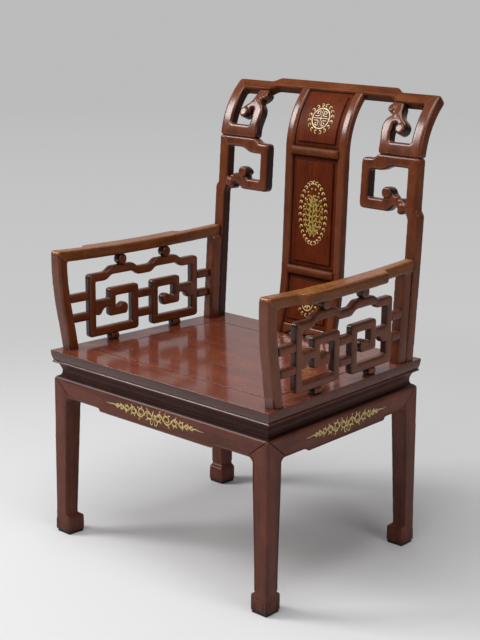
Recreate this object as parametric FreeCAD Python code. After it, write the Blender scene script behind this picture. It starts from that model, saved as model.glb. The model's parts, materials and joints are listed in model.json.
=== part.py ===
import FreeCAD, Part
import math
import os
from FreeCAD import Vector

# Official's hat armchair in polished hardwood, all lengths in millimetres.
# The chair faces -Y, +X is on the right of someone facing it, +Z is up.
# Pieces are drawn round the middle of the seat and moved at the end, so that
# the origin lies on the floor under the middle of the whole chair.

os.makedirs("parts", exist_ok=True)

# Seat
seat_front_width = 650.0
seat_rear_width = 598.8
seat_depth = 519.0
seat_height = 426.3
front_member = 69.5
rear_member = 76.5
side_member = 58.0
panel_thickness = 14.0
panel_seam = 0.4
batten_width = 42.0
batten_thickness = 18.0
batten_spacing = 170.0
tongue_length = 8.0
tongue_thickness = 6.0

# Edge moulding of the seat frame, as depths below the seat top and insets
ovolo_depth = 22.0
ovolo_inset = 4.2
ovolo_belly = 0.8
quirk_inset = 5.0
quirk_depth = 1.0
bead_depth = 5.0
bead_inset = 2.5

# Waist under the seat frame
waist_height = 28.0
waist_lip = 4.0
waist_step = 13.0
waist_shelf = 15.5
waist_recess = 17.3
waist_foot = 15.0
waist_cove = 5.0
waist_drop = 11.0
waist_inner = 44.0

# Aprons and the shoulder that they share with the legs
face_inset = 4.0
shoulder_inset = 10.5
shoulder_slope = 2.5
shoulder_drop = 12.0
apron_thickness = 20.0
front_apron_height = 45.5
front_apron_drop = 7.3
front_lobe_half = 160.0
side_apron_height = 47.3
side_apron_drop = 7.0
side_lobe_half = 122.0
lobe_ramp = 19.0

# Legs and feet
leg_top_width = 41.0
leg_foot_width = 34.5
leg_splay = 2.0
leg_fillet = 17.0
foot_width = 44.0
foot_height = 37.0
foot_shoulder = 5.0
pad_height = 5.0
pad_inset = 2.5

# Arm posts, seen from the side
post_foot_setback = 29.6
post_lean = 0.2
post_straight = 74.0
post_radius = 630.0
post_depth = 25.0
post_width = 30.5
post_foot_inset = 5.6
post_head_inset = 3.0

# Arm rails
arm_height = 223.7
rail_thickness = 26.0
rail_dish = 6.0
rail_sag = 4.0
rail_nose = 6.0
rail_front_width = 29.5
rail_rear_width = 24.5
rail_bulge = 18.0
rail_bulge_front = 107.0
rail_bulge_rear = 362.0
rail_ramp_front = 27.0
rail_ramp_rear = 16.0

# Back, measured along the front face of the back posts from the seat top
back_setback = 46.6
back_lean = 0.06
back_straight = 424.5
back_radius = 195.0
back_depth = 25.0
back_foot_inset = 4.9
back_foot_width = 26.0
back_swell = 3.5
back_swell_height = 224.0
back_neck_step = 8.0
back_neck_width = 29.0
outer_shoulder = 311.0
inner_shoulder = 300.0
shoulder_rise = 20.0
inner_shoulder_rise = 25.0
square_seam = 437.0
seam_round = 6.0
mitre_land = 8.0
crest_base = 558.0
crest_thickness = 28.0
crest_rise = 13.0
crest_middle_half = 163.0
crest_ramp = 27.0
crest_round = 7.0

# Scrolled squares beside the splat
lower_square_gap = 48.5
lower_base = 316.0
lower_root = 18.0
lower_upright = 23.0
lower_bar = 24.5
lower_step = 11.0
lower_lintel = 24.0
upper_square_width = 83.0
upper_upright = 26.0
upper_knot_width = 27.0
upper_bar = 30.0
square_round = 9.0

# Arm lattice, measured along the side of the seat from its middle
lattice_inset = 7.5
lattice_thickness = 17.0
lattice_bar = 18.0
lattice_round = 7.0
lattice_front_gap = 92.5
lattice_rear_gap = 104.5
lattice_base = 14.7
lattice_height = 143.0
hump_height = 11.0
spiral_height = 104.0
spiral_round = 6.0
spiral_rise = 40.6
leaf_top = 81.0
leaf_neck = 18.0
leaf_height = 32.0
stile_width = 27.0
stile_depth = 27.7
tie_high = 105.0
tie_low = 59.0
tie_middle_high = 87.0
tie_middle_low = 42.0
drum_diameter = 25.0
drum_length = 19.0

# Splat, with its own curved profile
splat_setback = 53.5
splat_foot_lean = 0.30
splat_foot_radius = 628.0
splat_lean = 0.035
splat_straight = 260.2
splat_radius = 195.0
splat_half = 88.5
splat_stile = 24.0
splat_thickness = 19.0
splat_rail = 20.0
low_rail_base = 141.5
mid_rail_base = 414.0
panel_recess = 6.0
panel_depth = 9.0
field_rise = 3.5
field_margin = 11.0
foot_apron_height = 27.0
foot_arch_half = 50.0
foot_arch_height = 13.0
foot_pendant = 5.0

# Inlays
inlay_thickness = 0.6
inlay_gap = 0.05
roundel_centre = 501.0
roundel_radius = 35.0
oval_centre = 286.5
oval_half_width = 41.0
oval_half_height = 71.5
low_medallion_centre = 78.0
low_medallion_radius = 28.0
front_ornament_half = 149.0
side_ornament_half = 139.0
ornament_height = 26.0

# Hand-drawn curls, as shares of the width and height of the square they fill
lower_curl_under_shares = [
    (0.656, 0.023), (0.710, 0.079), (0.770, 0.116), (0.815, 0.099), (0.831, 0.062),
    (0.819, 0.025), (0.847, -0.010), (0.903, -0.023), (0.960, 0.004), (1.0, 0.050)]
lower_curl_leaf_shares = [(0.952, 0.215), (0.863, 0.256), (0.790, 0.244), (0.778, 0.277), (0.802, 0.335)]
lower_curl_hook_shares = [
    (0.734, 0.298), (0.714, 0.331), (0.685, 0.394), (0.621, 0.426), (0.540, 0.403),
    (0.490, 0.360), (0.473, 0.303)]
lower_curl_throat_shares = [(0.504, 0.281), (0.526, 0.252), (0.512, 0.219), (0.472, 0.2025)]
upper_cane_shares = [
    (-0.018, 0.347), (-0.039, 0.463), (-0.027, 0.570), (0.036, 0.653), (0.133, 0.711),
    (0.265, 0.740), (0.410, 0.719), (0.542, 0.674), (0.651, 0.620), (0.723, 0.554),
    (0.729, 0.471), (0.663, 0.401), (0.554, 0.384), (0.452, 0.421), (0.416, 0.483),
    (0.428, 0.545), (0.380, 0.587), (0.313, 0.574), (0.289, 0.504), (0.283, 0.405)]
upper_knot_left_shares = [
    (0.145, 0.756), (0.036, 0.806), (-0.018, 0.868), (-0.006, 0.942), (0.054, 0.992)]
upper_knot_right_shares = [(0.410, 0.901), (0.446, 0.793), (0.530, 0.694)]
upper_knot_foot_shares = [(0.434, 0.661), (0.241, 0.686)]

# Places and widths along the arm lattice, as shares of its length from the front
hump_front_share = 0.295
hump_rear_share = 0.7003
hump_half_share = 0.0776
hump_ramp_share = 0.087
spiral_front_share = 0.177
spiral_rear_share = 0.8261
spiral_width_share = 0.2609
foot_drum_front_share = 0.2205
foot_drum_rear_share = 0.795

# Shares along and up the leaf beside a spiral. The hook at a spiral's end returns
# by a share of the spiral's width and is shaped in shares of the room inside it
# and of the bar.
leaf_curl_shares = [(0.80, 1.04), (0.56, 0.86)]
leaf_throat_shares = [(0.40, 0.64)]
spiral_return_share = 0.5714
hook_shares = [(0.15, 0.5), (0.10, 1.2), (-0.30, 1.42), (-0.60, 1.17), (-0.78, 1.0)]

# Shares of the small arch under the splat and of the outline of the apron inlays
arch_shares = [(0.7, 1.0), (0.35, 0.75)]
ornament_shares = [(0.8, 0.5), (0.35, 0.6)]

# Shares of a lower square's width: its sill, the step of its lintel, and the
# start and length of the same step inside the square
lower_run_share = 0.5968
lower_step_share = 0.4274
lintel_start_share = 0.1855
lintel_step_share = 0.3633

overrun = 200.0

x_axis = Vector(1, 0, 0)
y_axis = Vector(0, 1, 0)
z_axis = Vector(0, 0, 1)


class Plane:
    # A drawing plane: u and v lie in it, n is its normal.
    def __init__(self, origin, u, v, n):
        self.origin = origin
        self.u = u
        self.v = v
        self.n = n

    def at(self, u, v, depth=0.0):
        return self.origin + self.u * u + self.v * v + self.n * depth


def step_end(step):
    return step[-1] if isinstance(step[0], str) else step[:2]


def rounding(before, corner, after):
    # The two ends and the middle of the arc that rounds a corner.
    b = Vector(corner[0], corner[1], 0)
    towards_before = (Vector(before[0], before[1], 0) - b).normalize()
    towards_after = (Vector(after[0], after[1], 0) - b).normalize()
    half_angle = towards_before.getAngle(towards_after) / 2
    radius = corner[2]
    reach = radius / math.tan(half_angle)
    bisector = (towards_before + towards_after).normalize()
    middle = b + bisector * (radius / math.sin(half_angle) - radius)
    first = b + towards_before * reach
    last = b + towards_after * reach
    return [(point.x, point.y) for point in (first, middle, last)]


def outline(plane, path, depth=0.0):
    # A closed face. A step is a corner (u, v), a rounded corner (u, v, radius),
    # an "arc", a "curve" through points, or an ogee that starts and ends along
    # u ("ogee") or along v ("rise").
    ends = [step_end(step) for step in path]
    corners = []
    for index, step in enumerate(path):
        if len(step) == 3 and not isinstance(step[0], str):
            corners.append(rounding(ends[index - 1], step, ends[(index + 1) % len(path)]))
        else:
            corners.append([ends[index]])
    edges = []
    for index, step in enumerate(path):
        start = corners[index - 1][-1]
        end = corners[index][0]
        kind = step[0] if isinstance(step[0], str) else "line"
        if kind == "line":
            points = [start, end]
        elif kind == "ogee":
            middle = (start[0] + end[0]) / 2
            points = [start, (middle, start[1]), (middle, end[1]), end]
        elif kind == "rise":
            middle = (start[1] + end[1]) / 2
            points = [start, (start[0], middle), (end[0], middle), end]
        else:
            points = [start] + list(step[1:])
        points = [plane.at(point[0], point[1], depth) for point in points]
        if kind == "line" and points[0].isEqual(points[1], Part.Precision.confusion()):
            continue
        if kind == "line":
            edges.append(Part.LineSegment(*points).toShape())
        elif kind == "arc":
            edges.append(Part.Arc(*points).toShape())
        elif kind == "curve":
            curve = Part.BSplineCurve()
            curve.interpolate(points)
            edges.append(curve.toShape())
        else:
            curve = Part.BezierCurve()
            curve.setPoles(points)
            edges.append(curve.toShape())
        if len(corners[index]) > 1:
            arc = [plane.at(point[0], point[1], depth) for point in corners[index]]
            edges.append(Part.Arc(*arc).toShape())
    return Part.Face(Part.Wire(edges))


def slab(plane, path, near, far):
    return outline(plane, path, near).extrude(plane.n * (far - near))


def rectangle(left, right, bottom, top):
    return [(left, bottom), (right, bottom), (right, top), (left, top)]


def mirrored(shape):
    return shape.mirror(Vector(0, 0, 0), x_axis)


def both_halves(shape):
    return shape.fuse(mirrored(shape)).removeSplitter()


# Seat plan: four edges, each with u along the edge and n inward

seat_front = -seat_depth / 2
seat_rear = seat_depth / 2
taper = math.atan((seat_front_width - seat_rear_width) / 2 / seat_depth)
seat_mid_half = (seat_front_width + seat_rear_width) / 4
along_side = Vector(-math.sin(taper), math.cos(taper), 0)
into_side = Vector(-math.cos(taper), -math.sin(taper), 0)

ground = Plane(Vector(0, 0, 0), x_axis, y_axis, z_axis)
side_view = Plane(Vector(0, 0, 0), y_axis, z_axis, x_axis)
front_edge = Plane(Vector(0, seat_front, 0), x_axis, z_axis, y_axis)
rear_edge = Plane(Vector(0, seat_rear, 0), x_axis, z_axis, -y_axis)
right_edge = Plane(Vector(seat_mid_half, 0, 0), along_side, z_axis, into_side)


def half_width(y, inset=0.0):
    return seat_mid_half - y * math.tan(taper) - inset / math.cos(taper)


def seat_corner(side_inset, end_inset, end):
    # Right-hand corner of the seat plan; end is -1 at the front and 1 at the rear.
    y = end * (seat_depth / 2 - end_inset)
    return (half_width(y, side_inset), y)


def end_plan(side_inset, end_inset, end):
    outer = seat_corner(0, 0, end)
    inner = seat_corner(side_inset, end_inset, end)
    return [(-outer[0], outer[1]), outer, inner, (-inner[0], inner[1])]


def side_plan(side_inset, front_inset, rear_inset):
    return [seat_corner(0, 0, -1), seat_corner(0, 0, 1),
            seat_corner(side_inset, rear_inset, 1), seat_corner(side_inset, front_inset, -1)]


def moulding(edge, section):
    # A section drawn as inset and height, run along one edge of the seat.
    profile = Plane(edge.origin, edge.n, edge.v, edge.u)
    reach = seat_front_width / 2 + overrun
    return slab(profile, section, -reach, reach)


def mitred(edge, section, plan):
    return moulding(edge, section).common(slab(ground, plan, 0, seat_height))


pieces = {}


def add_pair(name, shape):
    pieces[name + "_right"] = shape
    pieces[name + "_left"] = mirrored(shape)


# Seat frame, with a convex edge, a quirk and a bead

frame_height = ovolo_depth + quirk_depth + bead_depth


def frame_section(member):
    quirk = seat_height - ovolo_depth
    bead = quirk - quirk_depth
    underside = seat_height - frame_height
    belly = (ovolo_belly, seat_height - ovolo_depth / 2)
    return [(0, seat_height), ("arc", belly, (ovolo_inset, quirk)), (quirk_inset, quirk),
            (quirk_inset, bead), ("arc", (bead_inset, bead - bead_depth / 2), (quirk_inset, underside)),
            (member, underside), (member, seat_height)]


front_frame = mitred(front_edge, frame_section(front_member), end_plan(side_member, front_member, -1))
rear_frame = mitred(rear_edge, frame_section(rear_member), end_plan(side_member, rear_member, 1))
side_frame = mitred(right_edge, frame_section(side_member),
                    side_plan(side_member, front_member, rear_member))

# The floating panel has a tongue all round that sits in a groove of the frame.


def panel_plan(grow):
    front = seat_corner(side_member + panel_seam - grow, front_member + panel_seam - grow, -1)
    rear = seat_corner(side_member + panel_seam - grow, rear_member + panel_seam - grow, 1)
    return [(-front[0], front[1]), front, rear, (-rear[0], rear[1])]


tongue_top = seat_height - panel_thickness + tongue_thickness
board = slab(ground, panel_plan(0), seat_height - panel_thickness, seat_height)
tongue = slab(ground, panel_plan(tongue_length), seat_height - panel_thickness, tongue_top)
groove = slab(ground, panel_plan(tongue_length + panel_seam), seat_height - panel_thickness, tongue_top)
pieces["seat_panel"] = board.fuse(tongue).removeSplitter()
pieces["seat_frame_front"] = front_frame.cut(groove)
pieces["seat_frame_rear"] = rear_frame.cut(groove)
add_pair("seat_frame", side_frame.cut(groove))

batten_top = seat_height - panel_thickness
batten_front = seat_front + front_member
batten_rear = seat_rear - rear_member
battens = []
for side in (-1, 1):
    middle = side * batten_spacing / 2
    plan = rectangle(middle - batten_width / 2, middle + batten_width / 2, batten_front, batten_rear)
    battens.append(slab(ground, plan, batten_top - batten_thickness, batten_top))
pieces["seat_battens"] = Part.makeCompound(battens)

# Waist, recessed between the seat frame and the aprons

waist_top = seat_height - frame_height
waist_base = waist_top - waist_height


def waist_section():
    # The cove starts level and curls down to the shelf.
    cove_base = waist_top - waist_cove
    shelf = waist_top - waist_drop
    run = waist_step - waist_lip
    cove_radius = (run ** 2 + waist_cove ** 2) / (2 * waist_cove)
    turn = math.asin(run / cove_radius) / 2
    cove_middle = (waist_lip + cove_radius * math.sin(turn), waist_top - cove_radius * (1 - math.cos(turn)))
    recess = (waist_recess, (shelf + waist_base) / 2)
    return [(waist_lip, waist_top), ("arc", cove_middle, (waist_step, cove_base)),
            (waist_shelf, shelf), ("arc", recess, (waist_foot, waist_base)),
            (waist_inner, waist_base), (waist_inner, waist_top)]


pieces["waist_front"] = mitred(front_edge, waist_section(), end_plan(waist_inner, waist_inner, -1))
pieces["waist_rear"] = mitred(rear_edge, waist_section(), end_plan(waist_inner, waist_inner, 1))
add_pair("waist", mitred(right_edge, waist_section(), side_plan(waist_inner, waist_inner, waist_inner)))

# Aprons, mitred into the legs, with a lower middle between two ogees

face_top = waist_base - shoulder_drop
apron_rear = face_inset + apron_thickness


def shoulder_section(inner, base):
    # The rolled shoulder over a flat face, down to a given height.
    roll_start = (shoulder_inset, waist_base - shoulder_slope)
    rise = roll_start[1] - face_top
    run = shoulder_inset - face_inset
    roll_middle = (face_inset + run * (1 - math.sqrt(0.5)), face_top + rise * math.sqrt(0.5))
    return [(waist_foot, waist_base), roll_start, ("arc", roll_middle, (face_inset, face_top)),
            (face_inset, base), (inner, base), (inner, waist_base)]


def apron_outline(half_length, height, drop, lobe_half):
    base = waist_base - height
    mitre_foot = half_length - leg_top_width - face_inset - leg_fillet
    mitre_head = half_length - face_inset
    right = [(lobe_half, base - drop), ("ogee", (lobe_half + lobe_ramp, base)),
             (mitre_foot, base), (mitre_head, waist_base)]
    left = [(-mitre_head, waist_base), (-mitre_foot, base), (-lobe_half - lobe_ramp, base),
            ("ogee", (-lobe_half, base - drop))]
    return right + left


def apron(edge, half_length, height, drop, lobe_half, plan):
    body = slab(edge, apron_outline(half_length, height, drop, lobe_half), 0, apron_rear)
    body = body.common(moulding(edge, shoulder_section(apron_rear, waist_base - height - overrun)))
    return body.common(slab(ground, plan, 0, seat_height))


side_length = seat_depth / math.cos(taper)
front_apron = apron(front_edge, seat_front_width / 2, front_apron_height, front_apron_drop,
                    front_lobe_half, end_plan(apron_rear, apron_rear, -1))
rear_apron = apron(rear_edge, seat_rear_width / 2, front_apron_height, front_apron_drop,
                   front_lobe_half, end_plan(apron_rear, apron_rear, 1))
side_apron = apron(right_edge, side_length / 2, side_apron_height, side_apron_drop,
                   side_lobe_half, side_plan(apron_rear, apron_rear, apron_rear))
pieces["apron_front"] = front_apron
pieces["apron_rear"] = rear_apron
add_pair("apron", side_apron)

# Legs: two outlines drawn as inset and height, crossed at the corner


def leg_section():
    foot_face = face_inset - leg_splay
    neck = pad_height + foot_height
    roll = shoulder_section(face_inset + leg_top_width, face_top)
    return roll[:3] + [
        (foot_face, pad_height), (foot_face + foot_width, pad_height),
        (foot_face + foot_width, neck - foot_shoulder),
        ("rise", (foot_face + leg_foot_width, neck + foot_shoulder)),
        (face_inset + leg_top_width, waist_base - front_apron_height - leg_fillet),
        (face_inset + leg_top_width, waist_base)]


def leg_ear(edge, half_length, towards, height):
    # The filleted spur that runs from the leg into the underside of an apron.
    base = waist_base - height
    leg_side = half_length - face_inset - leg_top_width
    tip = leg_side - leg_fillet
    bend = leg_fillet * (1 - math.sqrt(0.5))
    path = [(towards * leg_side, base - leg_fillet),
            ("arc", (towards * (leg_side - bend), base - bend), (towards * tip, base)),
            (towards * (leg_side + leg_top_width), waist_base),
            (towards * (leg_side + leg_top_width), base - leg_fillet)]
    return slab(edge, path, face_inset, face_inset + apron_thickness)


def leg(end_edge, end_half, towards, end_apron, side_outline):
    column = moulding(end_edge, leg_section()).common(moulding(right_edge, leg_section()))
    near = Vector(*seat_corner(0, 0, towards), 0)
    reach = leg_top_width + overrun / 4
    box = Part.makeBox(2 * reach, 2 * reach, seat_height, near - Vector(reach, reach, 0))
    column = column.common(box)
    column = column.fuse(leg_ear(end_edge, end_half, 1, front_apron_height))
    column = column.fuse(leg_ear(right_edge, side_length / 2, towards, side_apron_height))
    column = column.common(moulding(end_edge, side_outline)).common(moulding(right_edge, side_outline))
    return column.cut(end_apron).cut(side_apron).removeSplitter()


leg_clip = [(waist_foot, waist_base)] + leg_section()[1:4] + [
    (overrun, pad_height), (overrun, waist_base)]
add_pair("leg_front", leg(front_edge, seat_front_width / 2, -1, front_apron, leg_clip))
add_pair("leg_rear", leg(rear_edge, seat_rear_width / 2, 1, rear_apron, leg_clip))

# Black pads under the feet


def foot_pad(end_edge, end):
    inset = face_inset - leg_splay + pad_inset
    inner = face_inset - leg_splay + foot_width - pad_inset
    section = rectangle(inset, inner, 0, pad_height)
    pad = moulding(end_edge, section).common(moulding(right_edge, section))
    near = Vector(*seat_corner(0, 0, end), 0)
    reach = foot_width + overrun / 4
    box = Part.makeBox(2 * reach, 2 * reach, pad_height, near - Vector(reach, reach, 0))
    return pad.common(box)


pads = [foot_pad(front_edge, -1), foot_pad(rear_edge, 1)]
pieces["foot_pads"] = Part.makeCompound(pads + [mirrored(pad) for pad in pads])

# Back surface: distances s run up the front face of a member from the seat top,
# d is the depth behind that face, and u keeps its sideways place.


class Profile:
    def __init__(self, foot_y, foot_lean, foot_radius, lean, straight, radius):
        self.lean = lean
        self.foot_lean = foot_lean
        self.foot_radius = foot_radius
        self.radius = radius
        self.bend_start = (foot_lean - lean) * foot_radius
        self.bend_end = self.bend_start + straight
        foot = (foot_y, seat_height)
        away = self.normal(foot_lean)
        self.foot_centre = (foot[0] - foot_radius * away[0], foot[1] - foot_radius * away[1])
        self.knee = self.on_foot(self.bend_start, 0)
        along = self.tangent(lean)
        self.neck = (self.knee[0] + straight * along[0], self.knee[1] + straight * along[1])
        away = self.normal(lean)
        self.centre = (self.neck[0] + radius * away[0], self.neck[1] + radius * away[1])

    def normal(self, lean):
        return (math.cos(lean), -math.sin(lean))

    def tangent(self, lean):
        return (math.sin(lean), math.cos(lean))

    def straight_at(self, s):
        return s <= self.bend_end and (s >= self.bend_start or self.foot_lean == self.lean)

    def lean_at(self, s):
        if self.straight_at(s):
            return self.lean
        if s < self.bend_start:
            return self.foot_lean - s / self.foot_radius
        return self.lean + (s - self.bend_end) / self.radius

    def on_foot(self, s, d):
        away = self.normal(self.foot_lean - s / self.foot_radius)
        reach = self.foot_radius + d
        return (self.foot_centre[0] + reach * away[0], self.foot_centre[1] + reach * away[1])

    def point(self, s, d=0.0):
        away = self.normal(self.lean_at(s))
        if self.straight_at(s):
            along = self.tangent(self.lean)
            run = s - self.bend_start
            return (self.knee[0] + run * along[0] + d * away[0],
                    self.knee[1] + run * along[1] + d * away[1])
        if s < self.bend_start:
            return self.on_foot(s, d)
        reach = d - self.radius
        return (self.centre[0] + reach * away[0], self.centre[1] + reach * away[1])

    def plane_at(self, s):
        y, z = self.point(s)
        along = self.tangent(self.lean_at(s))
        away = self.normal(self.lean_at(s))
        return Plane(Vector(0, y, z), x_axis, Vector(0, *along), Vector(0, *away))

    def side(self, low, high, d):
        # Steps of one face from low to high: straight runs and arcs.
        breaks = [s for s in (self.bend_start, self.bend_end) if low < s < high]
        stops = [low] + breaks + [high]
        steps = [self.point(low, d)]
        for start, end in zip(stops, stops[1:]):
            middle = (start + end) / 2
            if self.straight_at(middle):
                steps.append(self.point(end, d))
            else:
                steps.append(("arc", self.point(middle, d), self.point(end, d)))
        return steps

    def band(self, low, high, near, far, left, right):
        front = self.side(low, high, near)
        rear = [self.point(high, far)]
        back_steps = self.side(low, high, far)
        for step, before in zip(reversed(back_steps[1:]), reversed(back_steps[:-1])):
            end = step_end(before)
            if isinstance(step[0], str):
                rear.append(("arc", step[1], end))
            else:
                rear.append(end)
        return slab(side_view, front + rear, left, right)

    def prism(self, middle, path):
        # An outline in (u, s), cut square through the member at one height.
        plane = self.plane_at(middle)

        def flat(point):
            y, z = self.point(point[1])
            reach = Vector(0, y, z) - plane.origin
            return (point[0], reach.dot(plane.v)) + tuple(point[2:])

        steps = []
        for step in path:
            if isinstance(step[0], str):
                steps.append((step[0],) + tuple(flat(point) for point in step[1:]))
            else:
                steps.append(flat(step))
        return slab(plane, steps, -overrun / 4, overrun / 2)


back_foot = seat_rear - back_setback
above_seat = slab(Plane(Vector(0, 0, seat_height), x_axis, y_axis, z_axis),
                  rectangle(-seat_front_width, seat_front_width, -seat_depth, seat_depth), 0, seat_front_width)
back = Profile(back_foot, back_lean, back_radius, back_lean, back_straight, back_radius)
splat = Profile(seat_rear - splat_setback, splat_foot_lean, splat_foot_radius,
                splat_lean, splat_straight, splat_radius)


def shares_at(shares, left, base, width, height):
    return [(left + u * width, base + v * height) for u, v in shares]


# Back posts in two lengths that meet at the seam between the squares

back_foot_outer = seat_rear_width / 2 - back_foot_inset
back_foot_inner = back_foot_outer - back_foot_width
back_mid_outer = back_foot_outer + back_swell
back_neck_outer = back_mid_outer - back_neck_step
back_neck_inner = back_neck_outer - back_neck_width
crest_top = crest_base + crest_thickness
past_crest = crest_top + crest_rise + crest_round
joint_outer = back_neck_outer - mitre_land
lower_post_path = [
    (back_foot_inner, -back_depth), (back_foot_outer, -back_depth), (back_mid_outer, back_swell_height),
    (back_mid_outer, outer_shoulder), ("rise", (back_neck_outer, outer_shoulder + shoulder_rise)),
    (back_neck_outer, square_seam, seam_round), (joint_outer, square_seam),
    (back_neck_inner, square_seam - lower_lintel), (back_neck_inner, inner_shoulder + inner_shoulder_rise),
    ("rise", (back_foot_inner, inner_shoulder))]
lower_post = back.band(-back_depth, square_seam, 0, back_depth, 0, back_mid_outer + overrun)
lower_post = lower_post.common(back.prism(lower_lintel, lower_post_path))
add_pair("back_post_lower", lower_post.common(above_seat))

low_joint = square_seam + upper_bar / 2
high_joint = crest_base + crest_thickness / 2
upper_foot_path = [
    (back_neck_inner, square_seam + upper_bar), (joint_outer, square_seam),
    (back_neck_outer, square_seam, seam_round), (back_neck_outer, past_crest),
    (back_neck_inner, past_crest)]
upper_head_path = [
    (back_neck_inner, lower_base), (back_neck_outer, lower_base),
    (back_neck_outer, crest_top, crest_round), (joint_outer, crest_top),
    (back_neck_inner, crest_base)]
upper_post = back.band(square_seam, past_crest, 0, back_depth, 0, back_neck_outer)
upper_post = upper_post.common(back.prism(low_joint, upper_foot_path))
add_pair("back_post_upper", upper_post.common(back.prism(high_joint, upper_head_path)))

# Crest rail, with a raised middle between ogee steps

crest_path = [
    (0, crest_base + crest_rise), (crest_middle_half, crest_base + crest_rise),
    ("ogee", (crest_middle_half + crest_ramp, crest_base)), (back_neck_inner, crest_base),
    (joint_outer, crest_top), (crest_middle_half + crest_ramp, crest_top),
    ("ogee", (crest_middle_half, crest_top + crest_rise)), (0, crest_top + crest_rise)]
crest_band = back.band(square_seam, past_crest, 0, back_depth, 0, back_neck_outer)
crest_half = crest_band.common(back.prism(high_joint, crest_path))
crest_rail = both_halves(crest_half)
pieces["crest_rail"] = crest_rail

# Lower squares: lintel, upright and sill in one carved piece, with two curls

lower_inner = splat_half + lower_square_gap
lower_square_width = back_neck_inner - lower_inner
lower_height = square_seam - lower_base
lower_hole = lower_inner + lower_upright
lower_run = lower_square_width * lower_run_share
lintel_start = lower_hole + lower_square_width * lintel_start_share
lintel_end = lintel_start + lower_square_width * lintel_step_share
under_curl = shares_at(lower_curl_under_shares, lower_inner, lower_base, lower_square_width, lower_height)
leaf_curl = shares_at(lower_curl_leaf_shares, lower_inner, lower_base, lower_square_width, lower_height)
hook_curl = shares_at(lower_curl_hook_shares, lower_inner, lower_base, lower_square_width, lower_height)
throat_curl = shares_at(lower_curl_throat_shares, lower_inner, lower_base, lower_square_width, lower_height)
lower_square_path = [
    (back_neck_inner, square_seam - lower_lintel), (joint_outer, square_seam),
    (lower_inner + lower_square_width * lower_step_share, square_seam),
    ("ogee", (lower_hole, square_seam - lower_step)),
    (lower_inner, square_seam - lower_step, square_round), (lower_inner, lower_base, square_round),
    (lower_inner + lower_run, lower_base), ("curve", *under_curl),
    (back_neck_inner, lower_base + lower_root), ("curve", *leaf_curl), hook_curl[0],
    ("curve", *hook_curl[1:]), ("curve", *throat_curl),
    (lower_hole, lower_base + lower_bar),
    (lower_hole, square_seam - lower_lintel - lower_step),
    (lintel_start, square_seam - lower_lintel - lower_step),
    ("ogee", (lintel_end, square_seam - lower_lintel))]
lower_band = back.band(lower_base - lower_bar, square_seam, 0, back_depth, 0, back_mid_outer)
add_pair("lower_square", lower_band.common(back.prism(lower_lintel, lower_square_path)))

# Upper squares: sill and cane-shaped upright, topped by a knot under the crest rail

upper_inner = back_neck_inner - upper_square_width
upper_height = crest_base - square_seam
cane = shares_at(upper_cane_shares, upper_inner, square_seam, upper_square_width, upper_height)
knot_left = shares_at(upper_knot_left_shares, upper_inner, square_seam, upper_square_width, upper_height)
knot_right = shares_at(upper_knot_right_shares, upper_inner, square_seam, upper_square_width, upper_height)
knot_foot = shares_at(upper_knot_foot_shares, upper_inner, square_seam, upper_square_width, upper_height)
upper_hole = upper_inner + upper_upright
cane_path = [
    (back_neck_outer, square_seam + upper_bar), (back_neck_outer, square_seam),
    (upper_inner, square_seam, square_round), (upper_inner, square_seam + upper_bar / 2),
    ("curve", *cane), (upper_hole, square_seam + upper_bar)]
sill_joint_path = [
    (0, square_seam), (joint_outer, square_seam), (back_neck_inner, square_seam + upper_bar),
    (back_neck_inner, crest_top), (0, crest_top)]
knot_path = [
    knot_foot[1], ("curve", *knot_left), (knot_left[-1][0], crest_top),
    (knot_left[-1][0] + upper_knot_width, crest_top), (knot_left[-1][0] + upper_knot_width, crest_base),
    ("curve", *knot_right), knot_foot[0]]
upper_middle = square_seam + upper_height / 2
upper_band = back.band(square_seam, crest_top, 0, back_depth, 0, back_neck_outer)
cane_solid = upper_band.common(back.prism(upper_middle, cane_path))
cane_solid = cane_solid.common(back.prism(low_joint, sill_joint_path))
knot_solid = upper_band.common(back.prism(upper_middle + upper_height / 4, knot_path))
below_crest_path = [
    (0, square_seam), (back_neck_inner, square_seam), (back_neck_inner, crest_base),
    (crest_middle_half + crest_ramp, crest_base),
    ("ogee", (crest_middle_half, crest_base + crest_rise)), (0, crest_base + crest_rise)]
knot_solid = knot_solid.common(back.prism(high_joint, below_crest_path))
add_pair("upper_square", cane_solid.fuse(knot_solid).removeSplitter())

# Splat: two stiles, two cross rails, three fielded panels and a small foot apron

splat_top = crest_base + crest_rise
crest_plane = back.plane_at(high_joint)
crest_seat = (Vector(0, *back.point(splat_top)) - crest_plane.origin).dot(crest_plane.v)
below_crest = slab(crest_plane, rectangle(-seat_rear_width, seat_rear_width, -seat_depth * 2, crest_seat),
                   -seat_depth, seat_depth)
splat_room = above_seat.common(below_crest)
splat_inner = splat_half - splat_stile


def splat_band(low, high, near, far, left, right):
    return splat.band(low, high, near, far, left, right).common(splat_room)


past_top = splat_top + splat_thickness
add_pair("splat_stile", splat_band(-splat_thickness, past_top, 0, splat_thickness, splat_inner, splat_half))


def cross_rail(base):
    return splat_band(base, base + splat_rail, 0, splat_thickness, -splat_inner, splat_inner)


pieces["splat_rail_low"] = cross_rail(low_rail_base)
pieces["splat_rail_middle"] = cross_rail(mid_rail_base)


def fielded_panel(low, high):
    field_near = panel_recess - field_rise
    ground_board = splat_band(low, high, panel_recess, panel_recess + panel_depth, -splat_inner, splat_inner)
    top = min(high, splat_top) - field_margin
    field = splat_band(low + field_margin, top, field_near, panel_recess + panel_depth,
                       field_margin - splat_inner, splat_inner - field_margin)
    return ground_board.fuse(field).removeSplitter()


pieces["splat_panel_top"] = fielded_panel(mid_rail_base + splat_rail, past_top)
pieces["splat_panel_middle"] = fielded_panel(low_rail_base + splat_rail, mid_rail_base)
pieces["splat_panel_low"] = fielded_panel(foot_apron_height, low_rail_base)


def arch_at(share, side):
    return (side * share[0] * foot_arch_half, share[1] * foot_arch_height)


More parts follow.
